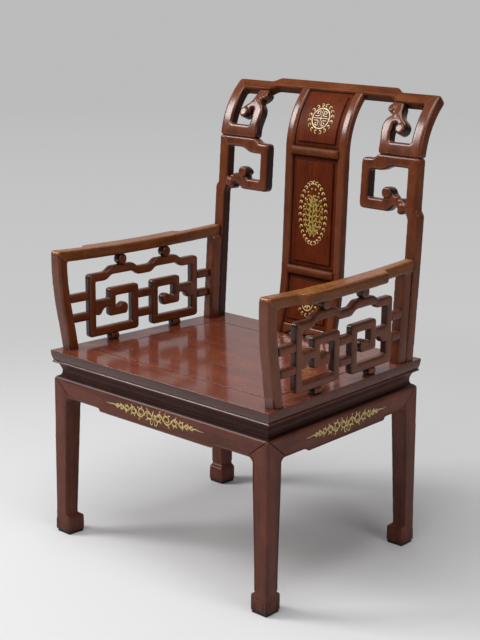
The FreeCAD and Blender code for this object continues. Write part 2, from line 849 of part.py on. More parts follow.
pendant_top = foot_arch_height - foot_pendant
arch_path = [
    (-foot_arch_half, -foot_arch_height), (-foot_arch_half, 0), ("rise", arch_at(arch_shares[0], -1)),
    ("arc", arch_at(arch_shares[1], -1), (-foot_pendant, pendant_top)),
    ("arc", (0, pendant_top - foot_pendant), (foot_pendant, pendant_top)),
    ("arc", arch_at(arch_shares[1], 1), arch_at(arch_shares[0], 1)),
    ("rise", (foot_arch_half, 0)), (foot_arch_half, -foot_arch_height)]
foot_board = splat_band(-foot_pendant, foot_apron_height, field_rise, panel_recess + panel_depth,
                        -splat_inner, splat_inner)
pieces["splat_foot_apron"] = foot_board.cut(splat.prism(foot_arch_height / 2, arch_path))

# Inlays: thin plates on the raised fields and on three aprons


def ellipse_path(centre, half_u, half_v):
    diagonal = math.sqrt(0.5)
    right = (half_u, centre)
    shares = [(diagonal, diagonal), (0, 1), (-diagonal, diagonal), (-1, 0),
              (-diagonal, -diagonal), (0, -1), (diagonal, -diagonal), (1, 0)]
    points = [(u * half_u, centre + v * half_v) for u, v in shares]
    return [right, ("curve", *points[:4]), ("curve", *points[4:])]


def medallion(centre, half_u, half_v):
    near = panel_recess - field_rise - inlay_gap - inlay_thickness
    reach = half_v + field_margin
    skin = splat_band(centre - reach, centre + reach, near, near + inlay_thickness,
                      -splat_inner, splat_inner)
    return skin.common(splat.prism(centre, ellipse_path(centre, half_u, half_v)))


pieces["splat_inlays"] = Part.makeCompound([
    medallion(roundel_centre, roundel_radius, roundel_radius),
    medallion(oval_centre, oval_half_width, oval_half_height),
    medallion(low_medallion_centre, low_medallion_radius, low_medallion_radius)])


def ornament(edge, half_length, height):
    middle = waist_base - height / 2 - shoulder_slope
    half = ornament_height / 2

    def quarter(side, up):
        return [(side * u * half_length, middle + up * v * half) for u, v in ornament_shares]

    path = [(-half_length, middle), ("curve", *quarter(-1, 1), (0, middle + half)),
            ("curve", *reversed(quarter(1, 1)), (half_length, middle)),
            ("curve", *quarter(1, -1), (0, middle - half)),
            ("curve", *reversed(quarter(-1, -1)), (-half_length, middle))]
    return slab(edge, path, face_inset - inlay_thickness, face_inset)


side_ornament = ornament(right_edge, side_ornament_half, side_apron_height)
pieces["apron_inlays"] = Part.makeCompound([
    ornament(front_edge, front_ornament_half, front_apron_height), side_ornament, mirrored(side_ornament)])

# Arm posts: a leaning foot and a long bend to upright, mitred to the rail

rail_top = seat_height + arm_height
rail_base = rail_top - rail_thickness
post_angle = math.atan(post_lean)
post_foot = seat_front + post_foot_setback
post_knee = (post_foot - post_straight * post_lean, seat_height + post_straight)
post_centre = (post_knee[0] + post_radius * math.cos(post_angle),
               post_knee[1] + post_radius * math.sin(post_angle))


def post_point(angle, depth):
    reach = post_radius - depth
    return (post_centre[0] - reach * math.cos(angle), post_centre[1] - reach * math.sin(angle))


post_front = post_centre[0] - post_radius
post_rear = post_front + post_depth
foot_rear = post_foot + post_depth / math.cos(post_angle)
post_path = [
    (post_foot, seat_height), post_point(post_angle, 0),
    ("arc", post_point(post_angle / 2, 0), post_point(0, 0)), (post_front, rail_top - rail_nose),
    (post_rear, rail_base), post_point(0, post_depth),
    ("arc", post_point(post_angle / 2, post_depth), post_point(post_angle, post_depth)),
    (foot_rear, seat_height)]
foot_x = half_width(post_foot, post_foot_inset)
head_x = half_width(post_front, post_head_inset)
front_view = Plane(Vector(0, 0, 0), x_axis, z_axis, y_axis)
post_face = [(foot_x - post_width, seat_height), (foot_x, seat_height),
             (head_x, rail_top), (head_x - post_width, rail_top)]
arm_post = slab(side_view, post_path, 0, seat_front_width)
arm_post = arm_post.common(slab(front_view, post_face, -seat_depth, seat_depth))
add_pair("arm_post", arm_post)

# Arm rails: dished on top, with a wider grip that steps out sideways


def back_at(height):
    # Place of the front face of the back post at a height above the floor.
    return back_foot + (height - seat_height) * math.tan(back_lean)


rail_end = back_at(rail_top)
rail_middle = (rail_end + post_front) / 2
rail_flat = seat_depth / 8
rail_side_path = [
    (post_rear, rail_base),
    ("curve", (rail_middle - rail_flat, rail_base - rail_sag), (rail_middle + rail_flat, rail_base - rail_sag),
     (back_at(rail_base), rail_base)),
    (rail_end, rail_top),
    ("curve", (rail_middle + rail_flat, rail_top - rail_dish), (rail_middle - rail_flat, rail_top - rail_dish),
     (post_front + rail_nose, rail_top)),
    ("arc", (post_front + rail_nose * (1 - math.sqrt(0.5)), rail_top - rail_nose * (1 - math.sqrt(0.5))),
     (post_front, rail_top - rail_nose))]
bulge_front = post_front + rail_bulge_front
bulge_rear = post_front + rail_bulge_rear
rail_front_x = half_width(post_front, post_head_inset)
rail_rear_x = half_width(rail_end, post_head_inset)


def rail_outer(y, step=0.0):
    share = (y - post_front) / (rail_end - post_front)
    return (rail_front_x + (rail_rear_x - rail_front_x) * share + step, y)


rail_plan_path = [
    (rail_front_x - rail_front_width, post_front), (rail_front_x, post_front),
    rail_outer(bulge_front - rail_ramp_front), ("rise", rail_outer(bulge_front, rail_bulge)),
    rail_outer(bulge_rear, rail_bulge), ("rise", rail_outer(bulge_rear + rail_ramp_rear)),
    (rail_rear_x, rail_end), (rail_rear_x - rail_rear_width, rail_end)]
arm_rail = slab(side_view, rail_side_path, 0, seat_front_width)
arm_rail = arm_rail.common(slab(ground, rail_plan_path, 0, rail_top + rail_nose))
add_pair("arm_rail", arm_rail)

# Rear stiles stand face to face with the back posts under the rail ends

under_rail = slab(ground, rectangle(0, seat_front_width, 0, seat_depth), seat_height, rail_base)
long_stile = back.band(-stile_depth, rail_top - seat_height, -stile_depth, 0,
                       back_foot_outer - stile_width, back_foot_outer)
add_pair("arm_stile", long_stile.common(under_rail).cut(arm_rail))

# Arm lattice, in the plane of the seat side

lattice_front = lattice_front_gap - seat_depth / 2
lattice_rear = seat_depth / 2 - lattice_rear_gap
lattice_length = lattice_rear - lattice_front
lattice_low = seat_height + lattice_base
lattice_high = lattice_low + lattice_height
hump_half = lattice_length * hump_half_share
hump_ramp = lattice_length * hump_ramp_share
spiral_width = lattice_length * spiral_width_share
spiral_return = spiral_width * spiral_return_share


def along_lattice(share):
    return lattice_front + lattice_length * share


hump_front = along_lattice(hump_front_share)
hump_rear = along_lattice(hump_rear_share)


def lattice_piece(path):
    return slab(right_edge, path, lattice_inset, lattice_inset + lattice_thickness)


def humped_edge(height, lift):
    # The upper edge of the lattice from front to rear, with two ogee humps.
    steps = []
    for middle in (hump_front, hump_rear):
        steps += [(middle - hump_half - hump_ramp, height),
                  ("ogee", (middle - hump_half, height + lift)),
                  (middle + hump_half, height + lift),
                  ("ogee", (middle + hump_half + hump_ramp, height))]
    return steps


def humped_underside(height, lift):
    steps = []
    for middle in (hump_rear, hump_front):
        steps += [(middle + hump_half + hump_ramp, height),
                  ("ogee", (middle + hump_half, height + lift)),
                  (middle - hump_half, height + lift),
                  ("ogee", (middle - hump_half - hump_ramp, height))]
    return steps


top_underside = lattice_high - lattice_bar
lattice_top_path = [
    (lattice_front, lattice_high, lattice_round), *humped_edge(lattice_high, hump_height),
    (lattice_rear, lattice_high, lattice_round), (lattice_rear, top_underside),
    *humped_underside(top_underside, hump_height), (lattice_front, top_underside)]
add_pair("lattice_top", lattice_piece(lattice_top_path))

# Each half of the sill runs from the foot of an upright to the foot of a spiral.


def lattice_sill(outer, inner, towards):
    path = [(outer, lattice_low, lattice_round), (inner, lattice_low, lattice_round),
            (inner, lattice_low + lattice_bar), (outer - towards * lattice_bar, lattice_low + lattice_bar),
            (outer, lattice_low + lattice_bar)]
    return lattice_piece(path)


def lattice_upright(outer, towards):
    inner = outer - towards * lattice_bar
    return lattice_piece(rectangle(min(inner, outer), max(inner, outer), lattice_low + lattice_bar,
                                   lattice_high - lattice_bar))


front_outer = along_lattice(spiral_front_share)
rear_outer = along_lattice(spiral_rear_share)
span_start = front_outer + spiral_width
span_end = rear_outer - spiral_width
sills = [lattice_sill(lattice_front, span_start, -1), lattice_sill(lattice_rear, span_end, 1)]
add_pair("lattice_sills", Part.makeCompound(sills))
uprights = [lattice_upright(lattice_front, -1), lattice_upright(lattice_rear, 1)]
add_pair("lattice_uprights", Part.makeCompound(uprights))

# Square spirals: each grows from the sill, turns back on itself and ends in a
# rounded hook; a leaf joins its outer side to the lattice upright.


def spiral(outer, towards, leaf_reach):
    # Outline in distances from the outer side of the spiral, towards the middle.
    def at(u, v):
        return (outer - towards * u, lattice_low + v)

    def leaf_at(share):
        return at(-share[0] * leaf_reach, leaf_top - share[1] * leaf_height)

    def hook_at(share):
        return at(spiral_return + share[0] * eye_width, spiral_rise + share[1] * lattice_bar)

    eye_top = spiral_height - lattice_bar
    eye_width = spiral_return - lattice_bar
    path = [
        at(spiral_width - lattice_bar, lattice_bar), at(spiral_width, lattice_bar),
        (*at(spiral_width, spiral_height), spiral_round), (*at(0, spiral_height), spiral_round),
        at(0, leaf_top), at(-leaf_reach, leaf_top), leaf_at((1, leaf_curl_shares[1][1])),
        ("arc", leaf_at(leaf_curl_shares[0]), leaf_at(leaf_curl_shares[1])),
        ("arc", leaf_at(leaf_throat_shares[0]), at(0, leaf_top - leaf_neck)),
        (*at(0, spiral_rise), spiral_round), at(spiral_return, spiral_rise),
        ("curve", *[hook_at(share) for share in hook_shares]),
        at(lattice_bar, spiral_rise + lattice_bar), at(lattice_bar, eye_top),
        at(spiral_width - lattice_bar, eye_top)]
    return lattice_piece(path)


front_reach = front_outer - lattice_front - lattice_bar
rear_reach = lattice_rear - lattice_bar - rear_outer
add_pair("spiral_front", spiral(front_outer, -1, front_reach))
add_pair("spiral_rear", spiral(rear_outer, 1, rear_reach))

# Short ties join the lattice to the post and the stile, and the spirals to each other


def plain_tie(start, end, top):
    return slab(right_edge, rectangle(start, end, top - lattice_bar, top),
                lattice_inset, lattice_inset + lattice_thickness)


ties = []
for top in (tie_middle_high, tie_middle_low):
    ties.append(plain_tie(span_start, span_end, lattice_low + top))
for rise in (tie_high, tie_low):
    top = lattice_low + rise
    front_tie = plain_tie(lattice_front - overrun / 2, lattice_front, top)
    ties.append(front_tie.common(slab(side_view, [
        (post_foot + post_depth, seat_height), (seat_rear, seat_height),
        (seat_rear, rail_base), (post_rear, rail_base)], 0, seat_front_width)).cut(arm_post))
    rear_tie = plain_tie(lattice_rear, lattice_rear + overrun / 2, top)
    ties.append(rear_tie.cut(back.band(-stile_depth, rail_top, -stile_depth, overrun,
                                       0, seat_front_width)))
add_pair("lattice_ties", Part.makeCompound(ties))

# Turned drums between the humps and the rail, and under the sill


def drum(along, low, high):
    # A drum lies crosswise and is flattened where it meets what is above and below.
    start = lattice_inset + lattice_thickness / 2 - drum_length / 2
    middle = right_edge.at(along, (low + high) / 2, start)
    barrel = Part.makeCylinder(drum_diameter / 2, drum_length, middle, right_edge.n)
    reach = drum_diameter
    return barrel.common(slab(right_edge, rectangle(along - reach, along + reach, low, high), 0, overrun))


drums = [drum(along_lattice(share), seat_height, lattice_low)
         for share in (foot_drum_front_share, foot_drum_rear_share)]
hump_top = lattice_high + hump_height
for along in (hump_front, hump_rear):
    drums.append(drum(along, hump_top, hump_top + drum_diameter).cut(arm_rail))
add_pair("lattice_drums", Part.makeCompound(drums))

# Every piece is moved so that the origin is under the middle of the chair.

front_most = min(shape.BoundBox.YMin for shape in pieces.values())
rear_most = max(shape.BoundBox.YMax for shape in pieces.values())
middle_shift = Vector(0, -(front_most + rear_most) / 2, 0)
for name, shape in pieces.items():
    placed = shape.translated(middle_shift)
    placed.exportStep("parts/" + name + ".step")
    box = placed.BoundBox
    print(name, placed.isValid(), len(placed.Solids), round(placed.Volume / 1000, 1),
          [round(value, 1) for value in (box.XMin, box.XMax, box.YMin, box.YMax, box.ZMin, box.ZMax)])
print("pieces", len(pieces), "shift", round(middle_shift.y, 2))
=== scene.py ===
import bpy
import json
import math
import numpy
from mathutils import Matrix, Vector

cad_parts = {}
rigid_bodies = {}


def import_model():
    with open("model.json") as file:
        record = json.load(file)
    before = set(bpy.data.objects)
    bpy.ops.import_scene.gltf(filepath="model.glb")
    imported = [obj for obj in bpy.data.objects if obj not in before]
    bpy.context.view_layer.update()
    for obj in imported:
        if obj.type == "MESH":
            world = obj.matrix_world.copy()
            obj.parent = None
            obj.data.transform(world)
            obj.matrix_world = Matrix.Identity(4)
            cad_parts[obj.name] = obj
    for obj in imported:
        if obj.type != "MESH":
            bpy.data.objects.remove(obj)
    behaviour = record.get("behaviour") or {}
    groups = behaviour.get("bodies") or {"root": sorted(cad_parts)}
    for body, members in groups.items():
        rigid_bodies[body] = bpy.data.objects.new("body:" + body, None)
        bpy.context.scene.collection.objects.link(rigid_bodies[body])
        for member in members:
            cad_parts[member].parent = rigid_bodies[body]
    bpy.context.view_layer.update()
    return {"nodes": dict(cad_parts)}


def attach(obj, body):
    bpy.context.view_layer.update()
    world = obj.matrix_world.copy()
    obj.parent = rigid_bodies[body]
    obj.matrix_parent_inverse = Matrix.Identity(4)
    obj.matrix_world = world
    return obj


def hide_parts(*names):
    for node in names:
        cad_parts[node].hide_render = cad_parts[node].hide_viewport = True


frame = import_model()
bpy.ops.object.select_all(action="DESELECT")
print("frame loaded:", len(frame["nodes"]), "nodes")

mm = 0.001
halfTurn = math.pi
zUp = Vector((0.0, 0.0, 1.0))


def newGroup(name, inputs, outputs):
    group = bpy.data.node_groups.new(name, "ShaderNodeTree")
    for label, kind, value in inputs:
        socket = group.interface.new_socket(name=label, in_out="INPUT", socket_type=kind)
        if value is not None:
            socket.default_value = value
    for label in outputs:
        group.interface.new_socket(name=label, in_out="OUTPUT", socket_type="NodeSocketFloat")
    start = group.nodes.new("NodeGroupInput")
    end = group.nodes.new("NodeGroupOutput")
    return group, start, end


def mathNode(tree, operation, *values):
    node = tree.nodes.new("ShaderNodeMath")
    node.operation = operation
    for index, value in enumerate(values):
        if isinstance(value, (int, float)):
            node.inputs[index].default_value = value
        else:
            tree.links.new(value, node.inputs[index])
    return node.outputs[0]


def rangeNode(tree, value, low, high, newLow=0.0, newHigh=1.0, smooth=False):
    node = tree.nodes.new("ShaderNodeMapRange")
    if smooth:
        node.interpolation_type = "SMOOTHSTEP"
    for label, number in (("From Min", low), ("From Max", high), ("To Min", newLow), ("To Max", newHigh)):
        node.inputs[label].default_value = number
    tree.links.new(value, node.inputs["Value"])
    return node.outputs["Result"]


def noiseNode(tree, vector, scale, detail, rough):
    node = tree.nodes.new("ShaderNodeTexNoise")
    node.inputs["Scale"].default_value = scale
    node.inputs["Detail"].default_value = detail
    node.inputs["Roughness"].default_value = rough
    tree.links.new(vector, node.inputs["Vector"])
    return node.outputs["Fac"]


def dotNode(tree, first, second):
    node = tree.nodes.new("ShaderNodeVectorMath")
    node.operation = "DOT_PRODUCT"
    tree.links.new(first, node.inputs[0])
    if isinstance(second, tuple):
        node.inputs[1].default_value = second
    else:
        tree.links.new(second, node.inputs[1])
    return node.outputs["Value"]


def mixColour(tree, amount, first, second):
    node = tree.nodes.new("ShaderNodeMix")
    node.data_type = "RGBA"
    tree.links.new(amount, node.inputs[0])
    for socket, value in ((node.inputs[6], first), (node.inputs[7], second)):
        if isinstance(value, tuple):
            socket.default_value = (*value, 1.0)
        else:
            tree.links.new(value, socket)
    return node.outputs[2]


def addBump(tree, shader, height, strength, depth):
    bump = tree.nodes.new("ShaderNodeBump")
    bump.inputs["Strength"].default_value = strength
    bump.inputs["Distance"].default_value = depth
    tree.links.new(height, bump.inputs["Height"])
    tree.links.new(bump.outputs["Normal"], shader.inputs["Normal"])


def newMaterial(name):
    material = bpy.data.materials.new(name)
    material.use_nodes = True
    tree = material.node_tree
    place = tree.nodes.new("ShaderNodeTexCoord")
    return material, tree, tree.nodes["Principled BSDF"], place.outputs["Object"]


# Close, dark hardwood: scale, detail and roughness of each noise, drawn out along the length
grainSettings = {"Fibre": (34.0, 6.0, 0.62), "Figure": (3.4, 3.0, 0.5), "Pores": (95.0, 2.0, 0.45),
                 "Cloud": (16.0, 8.0, 0.70), "stretch": (1.0, 14.0, 14.0), "poreEdge": (0.58, 0.72)}


def buildGrain():
    layers = ("Fibre", "Figure", "Pores", "Cloud")
    group, start, end = newGroup("hardwoodGrain", [("Vector", "NodeSocketVector", None)], layers)
    stretch = group.nodes.new("ShaderNodeMapping")
    stretch.inputs["Scale"].default_value = grainSettings["stretch"]
    group.links.new(start.outputs["Vector"], stretch.inputs["Vector"])
    for layer in layers:
        drawn = start if layer == "Cloud" else stretch
        value = noiseNode(group, drawn.outputs["Vector"], *grainSettings[layer])
        if layer == "Pores":
            value = rangeNode(group, value, *grainSettings["poreEdge"], smooth=True)
        group.links.new(value, end.inputs[layer])
    return group


# Where hands and cloths rub the arrises pale, and painted shade that darkens the hollows
wearShadeSettings = {"samples": 6, "arris": 1.3 * mm, "hollow": 26.0 * mm, "sharpness": (0.012, 0.10),
                "openness": (0.60, 0.90), "hollowShade": (0.88, 0.30), "patchNoise": (55.0, 4.0, 0.6),
                "patches": (0.3, 0.6, 0.25, 1.0), "scuffNoise": (16.0, 8.0, 0.72), "scuffs": (0.48, 0.75)}


def buildWearAndShade():
    group, start, end = newGroup("arrisWearHollowShade", [("Vector", "NodeSocketVector", None),
                                               ("Reach", "NodeSocketFloat", 0.5)], ("Mask", "Scuff", "HollowShade"))
    vector = start.outputs["Vector"]
    bevel = group.nodes.new("ShaderNodeBevel")
    bevel.samples = wearShadeSettings["samples"]
    bevel.inputs["Radius"].default_value = wearShadeSettings["arris"]
    shade = group.nodes.new("ShaderNodeAmbientOcclusion")
    shade.samples = wearShadeSettings["samples"]
    shade.inputs["Distance"].default_value = wearShadeSettings["hollow"]
    surface = group.nodes.new("ShaderNodeNewGeometry")
    turn = mathNode(group, "SUBTRACT", 1.0, dotNode(group, bevel.outputs[0], surface.outputs["Normal"]))
    sharp = mathNode(group, "MULTIPLY", rangeNode(group, turn, *wearShadeSettings["sharpness"], smooth=True),
                     rangeNode(group, shade.outputs["AO"], *wearShadeSettings["openness"]))
    patchy = rangeNode(group, noiseNode(group, vector, *wearShadeSettings["patchNoise"]), *wearShadeSettings["patches"])
    rubbed = mathNode(group, "MULTIPLY", mathNode(group, "MULTIPLY", sharp, patchy), start.outputs["Reach"])
    scuff = rangeNode(group, noiseNode(group, vector, *wearShadeSettings["scuffNoise"]), *wearShadeSettings["scuffs"])
    # painted shade: darker where ambient occlusion finds a hollow
    hollowShade = rangeNode(group, shade.outputs["AO"], *wearShadeSettings["hollowShade"])
    for label, value in (("Mask", rubbed), ("Scuff", scuff), ("HollowShade", hollowShade)):
        group.links.new(value, end.inputs[label])
    return group


grainGroup = buildGrain()
wearShadeGroup = buildWearAndShade()

grainTurns = {"x": (0.0, 0.0, 0.0), "y": (0.0, 0.0, halfTurn / 2), "z": (0.0, halfTurn / 2, 0.0)}

woodLooks = {
    "dark": {"deep": (0.050, 0.010, 0.003), "mid": (0.140, 0.030, 0.0085), "light": (0.255, 0.068, 0.0175),
             "worn": (0.50, 0.26, 0.14), "shadeTone": (0.026, 0.0072, 0.0036), "rough": 0.28, "spec": 0.30,
             "coat": 0.50, "coatRough": 0.16, "wear": 0.65},
    "panel": {"deep": (0.034, 0.005, 0.0014), "mid": (0.112, 0.015, 0.0028), "light": (0.190, 0.036, 0.006),
              "worn": (0.34, 0.15, 0.075), "shadeTone": (0.010, 0.003, 0.0018), "rough": 0.55, "spec": 0.08,
              "coat": 0.03, "coatRough": 0.25, "wear": 0.5},
    "leg": {"deep": (0.032, 0.0075, 0.0045), "mid": (0.135, 0.030, 0.015), "light": (0.220, 0.060, 0.031),
            "worn": (0.40, 0.21, 0.14), "shadeTone": (0.016, 0.005, 0.0035), "rough": 0.40, "spec": 0.34,
            "coat": 0.10, "coatRough": 0.28, "wear": 0.15},
    "crest": {"deep": (0.050, 0.010, 0.003), "mid": (0.135, 0.032, 0.008), "light": (0.250, 0.072, 0.019),
              "worn": (0.50, 0.26, 0.14), "shadeTone": (0.016, 0.005, 0.0026), "rough": 0.46, "spec": 0.08,
              "coat": 0.05, "coatRough": 0.20, "wear": 0.8},
    # the waist: darker colours paint the shade of its recess under the seat
    "shadedWaist": {"deep": (0.012, 0.004, 0.0028), "mid": (0.058, 0.013, 0.0065), "light": (0.105, 0.026, 0.012),
               "worn": (0.30, 0.15, 0.10), "shadeTone": (0.006, 0.0025, 0.002), "rough": 0.34, "spec": 0.18,
               "coat": 0.12, "coatRough": 0.18, "wear": 0.25},
    "seat": {"deep": (0.080, 0.015, 0.0075), "mid": (0.235, 0.048, 0.0205), "light": (0.340, 0.088, 0.039),
             "worn": (0.55, 0.32, 0.20), "shadeTone": (0.024, 0.0065, 0.004), "rough": 0.24, "spec": 0.25,
             "coat": 0.80, "coatRough": 0.10, "wear": 0.12},
    "arm": {"deep": (0.075, 0.019, 0.006), "mid": (0.285, 0.080, 0.018), "light": (0.460, 0.170, 0.042),
            "worn": (0.60, 0.36, 0.20), "shadeTone": (0.020, 0.007, 0.004), "rough": 0.26, "spec": 0.25,
            "coat": 0.40, "coatRough": 0.10, "wear": 0.9},
}
woodMix = {"cloud": (0.42, 0.70, 0.0, 0.70), "figure": (0.46, 0.76, 0.0, 0.68), "fibre": (0.50, 0.70, 0.0, 0.70),
           "pores": 0.60, "hollowShade": 0.92, "shadeTurn": (0.50, 0.90), "shadeCoat": 0.15, "scuffRough": 0.10,
           "hollowRough": 0.12, "fibreRise": 0.5, "poreRise": -0.6, "bump": 0.16, "bumpDepth": 0.3 * mm}

# Painted shade on sides, set by the way they face: that way, how deep the shade is, and if both ways count
shadedSides = {"back": [((1.0, 0.0, 0.0), 0.90, True), ((0.0, 0.0, -1.0), 0.65, False)],
                "postRight": [((-1.0, 0.0, 0.0), 0.85, False)], "postLeft": [((1.0, 0.0, 0.0), 0.85, False)],
                "lattice": [((0.0, 1.0, 0.0), 0.92, True), ((0.0, 0.0, -1.0), 0.80, False)],
                "edge": [((0.0, 1.0, 0.0), 0.72, True), ((1.0, 0.0, 0.0), 0.62, True)],
                "shoulder": [((0.0, 0.0, 1.0), 0.92, False)],
                "rail": [((0.0, 0.0, -1.0), 0.9, False), ((1.0, 0.0, 0.0), 0.40, True)]}


def makeWood(look, axis, cut="plain"):
    name = look + "Wood_" + axis + "_" + cut
    if name in bpy.data.materials:
        return bpy.data.materials[name]
    values = woodLooks[look]
    material, tree, shader, place = newMaterial(name)
    turn = tree.nodes.new("ShaderNodeMapping")
    turn.inputs["Rotation"].default_value = grainTurns[axis]
    grain = tree.nodes.new("ShaderNodeGroup")
    grain.node_tree = grainGroup
    wear = tree.nodes.new("ShaderNodeGroup")
    wear.node_tree = wearShadeGroup
    wear.inputs["Reach"].default_value = values["wear"]
    for source, target in ((place, turn), (turn.outputs["Vector"], grain), (place, wear)):
        tree.links.new(source, target.inputs["Vector"])

    body = values["mid"]
    # grain, then painted shade in the hollows
    for amount, colour in ((rangeNode(tree, grain.outputs["Cloud"], *woodMix["cloud"]), "light"),
                           (rangeNode(tree, grain.outputs["Figure"], *woodMix["figure"]), "deep"),
                           (rangeNode(tree, grain.outputs["Fibre"], *woodMix["fibre"]), "light"),
                           (mathNode(tree, "MULTIPLY", grain.outputs["Pores"], woodMix["pores"]), "deep"),
                           (mathNode(tree, "MULTIPLY", wear.outputs["HollowShade"], woodMix["hollowShade"]), "shadeTone")):
        body = mixColour(tree, amount, body, values[colour])
    shader.inputs["Coat Weight"].default_value = values["coat"]
    surface = tree.nodes.new("ShaderNodeNewGeometry")
    # painted shade on the sides of this cut, which also lose most of their coat
    for way, depth, bothWays in shadedSides.get(cut, ()):
        facing = dotNode(tree, surface.outputs["Normal"], way)
        if bothWays:
            facing = mathNode(tree, "ABSOLUTE", facing)
        shaded = rangeNode(tree, facing, *woodMix["shadeTurn"], 0.0, depth, smooth=True)
        body = mixColour(tree, shaded, body, values["shadeTone"])
        coat = rangeNode(tree, shaded, 0.0, 1.0, values["coat"], values["coat"] * woodMix["shadeCoat"])
        tree.links.new(coat, shader.inputs["Coat Weight"])
    body = mixColour(tree, wear.outputs["Mask"], body, values["worn"])
    tree.links.new(body, shader.inputs["Base Color"])

    rough = mathNode(tree, "MULTIPLY_ADD", wear.outputs["Scuff"], woodMix["scuffRough"], values["rough"])
    rough = mathNode(tree, "MULTIPLY_ADD", wear.outputs["HollowShade"], woodMix["hollowRough"], rough)
    tree.links.new(rough, shader.inputs["Roughness"])
    shader.inputs["Coat Roughness"].default_value = values["coatRough"]
    shader.inputs["Specular IOR Level"].default_value = values["spec"]
    height = mathNode(tree, "MULTIPLY_ADD", grain.outputs["Fibre"], woodMix["fibreRise"],
                      mathNode(tree, "MULTIPLY", grain.outputs["Pores"], woodMix["poreRise"]))
    addBump(tree, shader, height, woodMix["bump"], woodMix["bumpDepth"])
    return material


goldMix = {"cloudNoise": (140.0, 5.0, 0.7), "cloud": (0.38, 0.7), "rubNoise": (420.0, 3.0, 0.6),
           "rub": (0.58, 0.76), "rubbed": 0.6, "dull": 0.2, "metal": 0.25, "bump": 0.25, "bumpDepth": 0.2 * mm}


def makeGold(name, pale, deep, rough):
    material, tree, shader, place = newMaterial(name)
    cloud = rangeNode(tree, noiseNode(tree, place, *goldMix["cloudNoise"]), *goldMix["cloud"])
    rub = rangeNode(tree, noiseNode(tree, place, *goldMix["rubNoise"]), *goldMix["rub"])
    body = mixColour(tree, cloud, pale, deep)
    body = mixColour(tree, mathNode(tree, "MULTIPLY", rub, goldMix["rubbed"]), body, deep)
    tree.links.new(body, shader.inputs["Base Color"])
    tree.links.new(mathNode(tree, "MULTIPLY_ADD", cloud, goldMix["dull"], rough), shader.inputs["Roughness"])
    shader.inputs["Metallic"].default_value = goldMix["metal"]
    addBump(tree, shader, rub, goldMix["bump"], goldMix["bumpDepth"])
    return material


padMix = {"noise": (260.0, 6.0, 0.7), "dark": (0.010, 0.009, 0.009), "pale": (0.035, 0.030, 0.028),
          "rough": (0.3, 0.7, 0.55, 0.75), "bump": 0.3, "bumpDepth": 0.3 * mm}


def makePad():
    material, tree, shader, place = newMaterial("blackPad")
    speck = noiseNode(tree, place, *padMix["noise"])
    tree.links.new(mixColour(tree, speck, padMix["dark"], padMix["pale"]), shader.inputs["Base Color"])
    tree.links.new(rangeNode(tree, speck, *padMix["rough"]), shader.inputs["Roughness"])
    addBump(tree, shader, speck, padMix["bump"], padMix["bumpDepth"])
    return material


paleGold = makeGold("paleGold", (0.92, 0.80, 0.60), (0.62, 0.44, 0.22), 0.38)
oldGold = makeGold("oldGold", (0.58, 0.46, 0.10), (0.27, 0.18, 0.035), 0.45)
vineGold = makeGold("vineGold", (0.92, 0.74, 0.33), (0.52, 0.36, 0.10), 0.42)
padFinish = makePad()
print("finishes mixed")


def activate(*pieces):
    bpy.ops.object.select_all(action="DESELECT")
    for piece in pieces:
        piece.select_set(True)
    bpy.context.view_layer.objects.active = pieces[0]


def editAll(piece):
    activate(piece)
    bpy.ops.object.mode_set(mode="EDIT")
    bpy.ops.mesh.select_all(action="SELECT")


def endEdit():
    bpy.ops.object.mode_set(mode="OBJECT")


def editOnly(piece, kind, chosen):
    # edit mode with just the chosen faces or points selected
    activate(piece)
    bpy.ops.object.mode_set(mode="EDIT")
    bpy.ops.mesh.select_mode(type=kind)
    bpy.ops.mesh.select_all(action="DESELECT")
    endEdit()
    rows = piece.data.polygons if kind == "FACE" else piece.data.vertices
    rows.foreach_set("select", chosen)
    bpy.ops.object.mode_set(mode="EDIT")


def smooth(piece, degrees=None):
    activate(piece)
    if degrees:
        bpy.ops.object.shade_smooth_by_angle(angle=math.radians(degrees))
    else:
        bpy.ops.object.shade_smooth()
    return piece


def applyModifier(piece, kind, **values):
    activate(piece)
    bpy.ops.object.modifier_add(type=kind)
    modifier = piece.modifiers[-1]
    for label, value in values.items():
        setattr(modifier, label, value)
    bpy.ops.object.modifier_apply(modifier=modifier.name)


def joinAll(pieces, name):
    activate(*pieces)
    if len(pieces) > 1:
        bpy.ops.object.join()
    pieces[0].name = name
    return pieces[0]


def copyPiece(piece, name):
    twin = bpy.data.objects.new(name, piece.data.copy())
    bpy.context.scene.collection.objects.link(twin)
    return twin


def mergedCopy(node, name):
    piece = copyPiece(frame["nodes"][node], name)
    piece.data.materials.clear()
    editAll(piece)
    bpy.ops.mesh.remove_doubles(threshold=0.01 * mm)
    endEdit()
    return piece


def turnOutwards(piece, spread=None):
    # faces out again, after the mesh is spread or mirrored about the origin if asked
    editAll(piece)
    if spread:
        bpy.ops.transform.resize(value=spread, center_override=(0.0, 0.0, 0.0))
    bpy.ops.mesh.normals_make_consistent(inside=False)
    endEdit()
    return piece


def mirroredCopy(piece, name):
    return turnOutwards(copyPiece(piece, name), (-1.0, 1.0, 1.0))


def valuesOf(rows, label):
    values = numpy.empty(len(rows) * 3)
    rows.foreach_get(label, values)
    return values.reshape(-1, 3)


def pointsOf(piece):
    return valuesOf(piece.data.vertices, "co")


def movePoints(piece, points):
    piece.data.vertices.foreach_set("co", numpy.asarray(points).ravel())
    piece.data.update()
    return piece


def paint(piece, material):
    piece.data.materials.clear()
    piece.data.materials.append(material)
    return piece


def fasten(piece, slotName, *nodes):
    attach(piece, "root")
    if nodes:
        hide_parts(*nodes)
    return piece


def dress(piece, material, slotName, *nodes):
    return fasten(paint(piece, material), slotName, *nodes)


def voxelSkin(piece, grid, passes):
    applyModifier(piece, "REMESH", mode="VOXEL", voxel_size=grid, adaptivity=0.0, use_smooth_shade=True)
    if passes:
        applyModifier(piece, "SMOOTH", factor=0.5, iterations=passes)


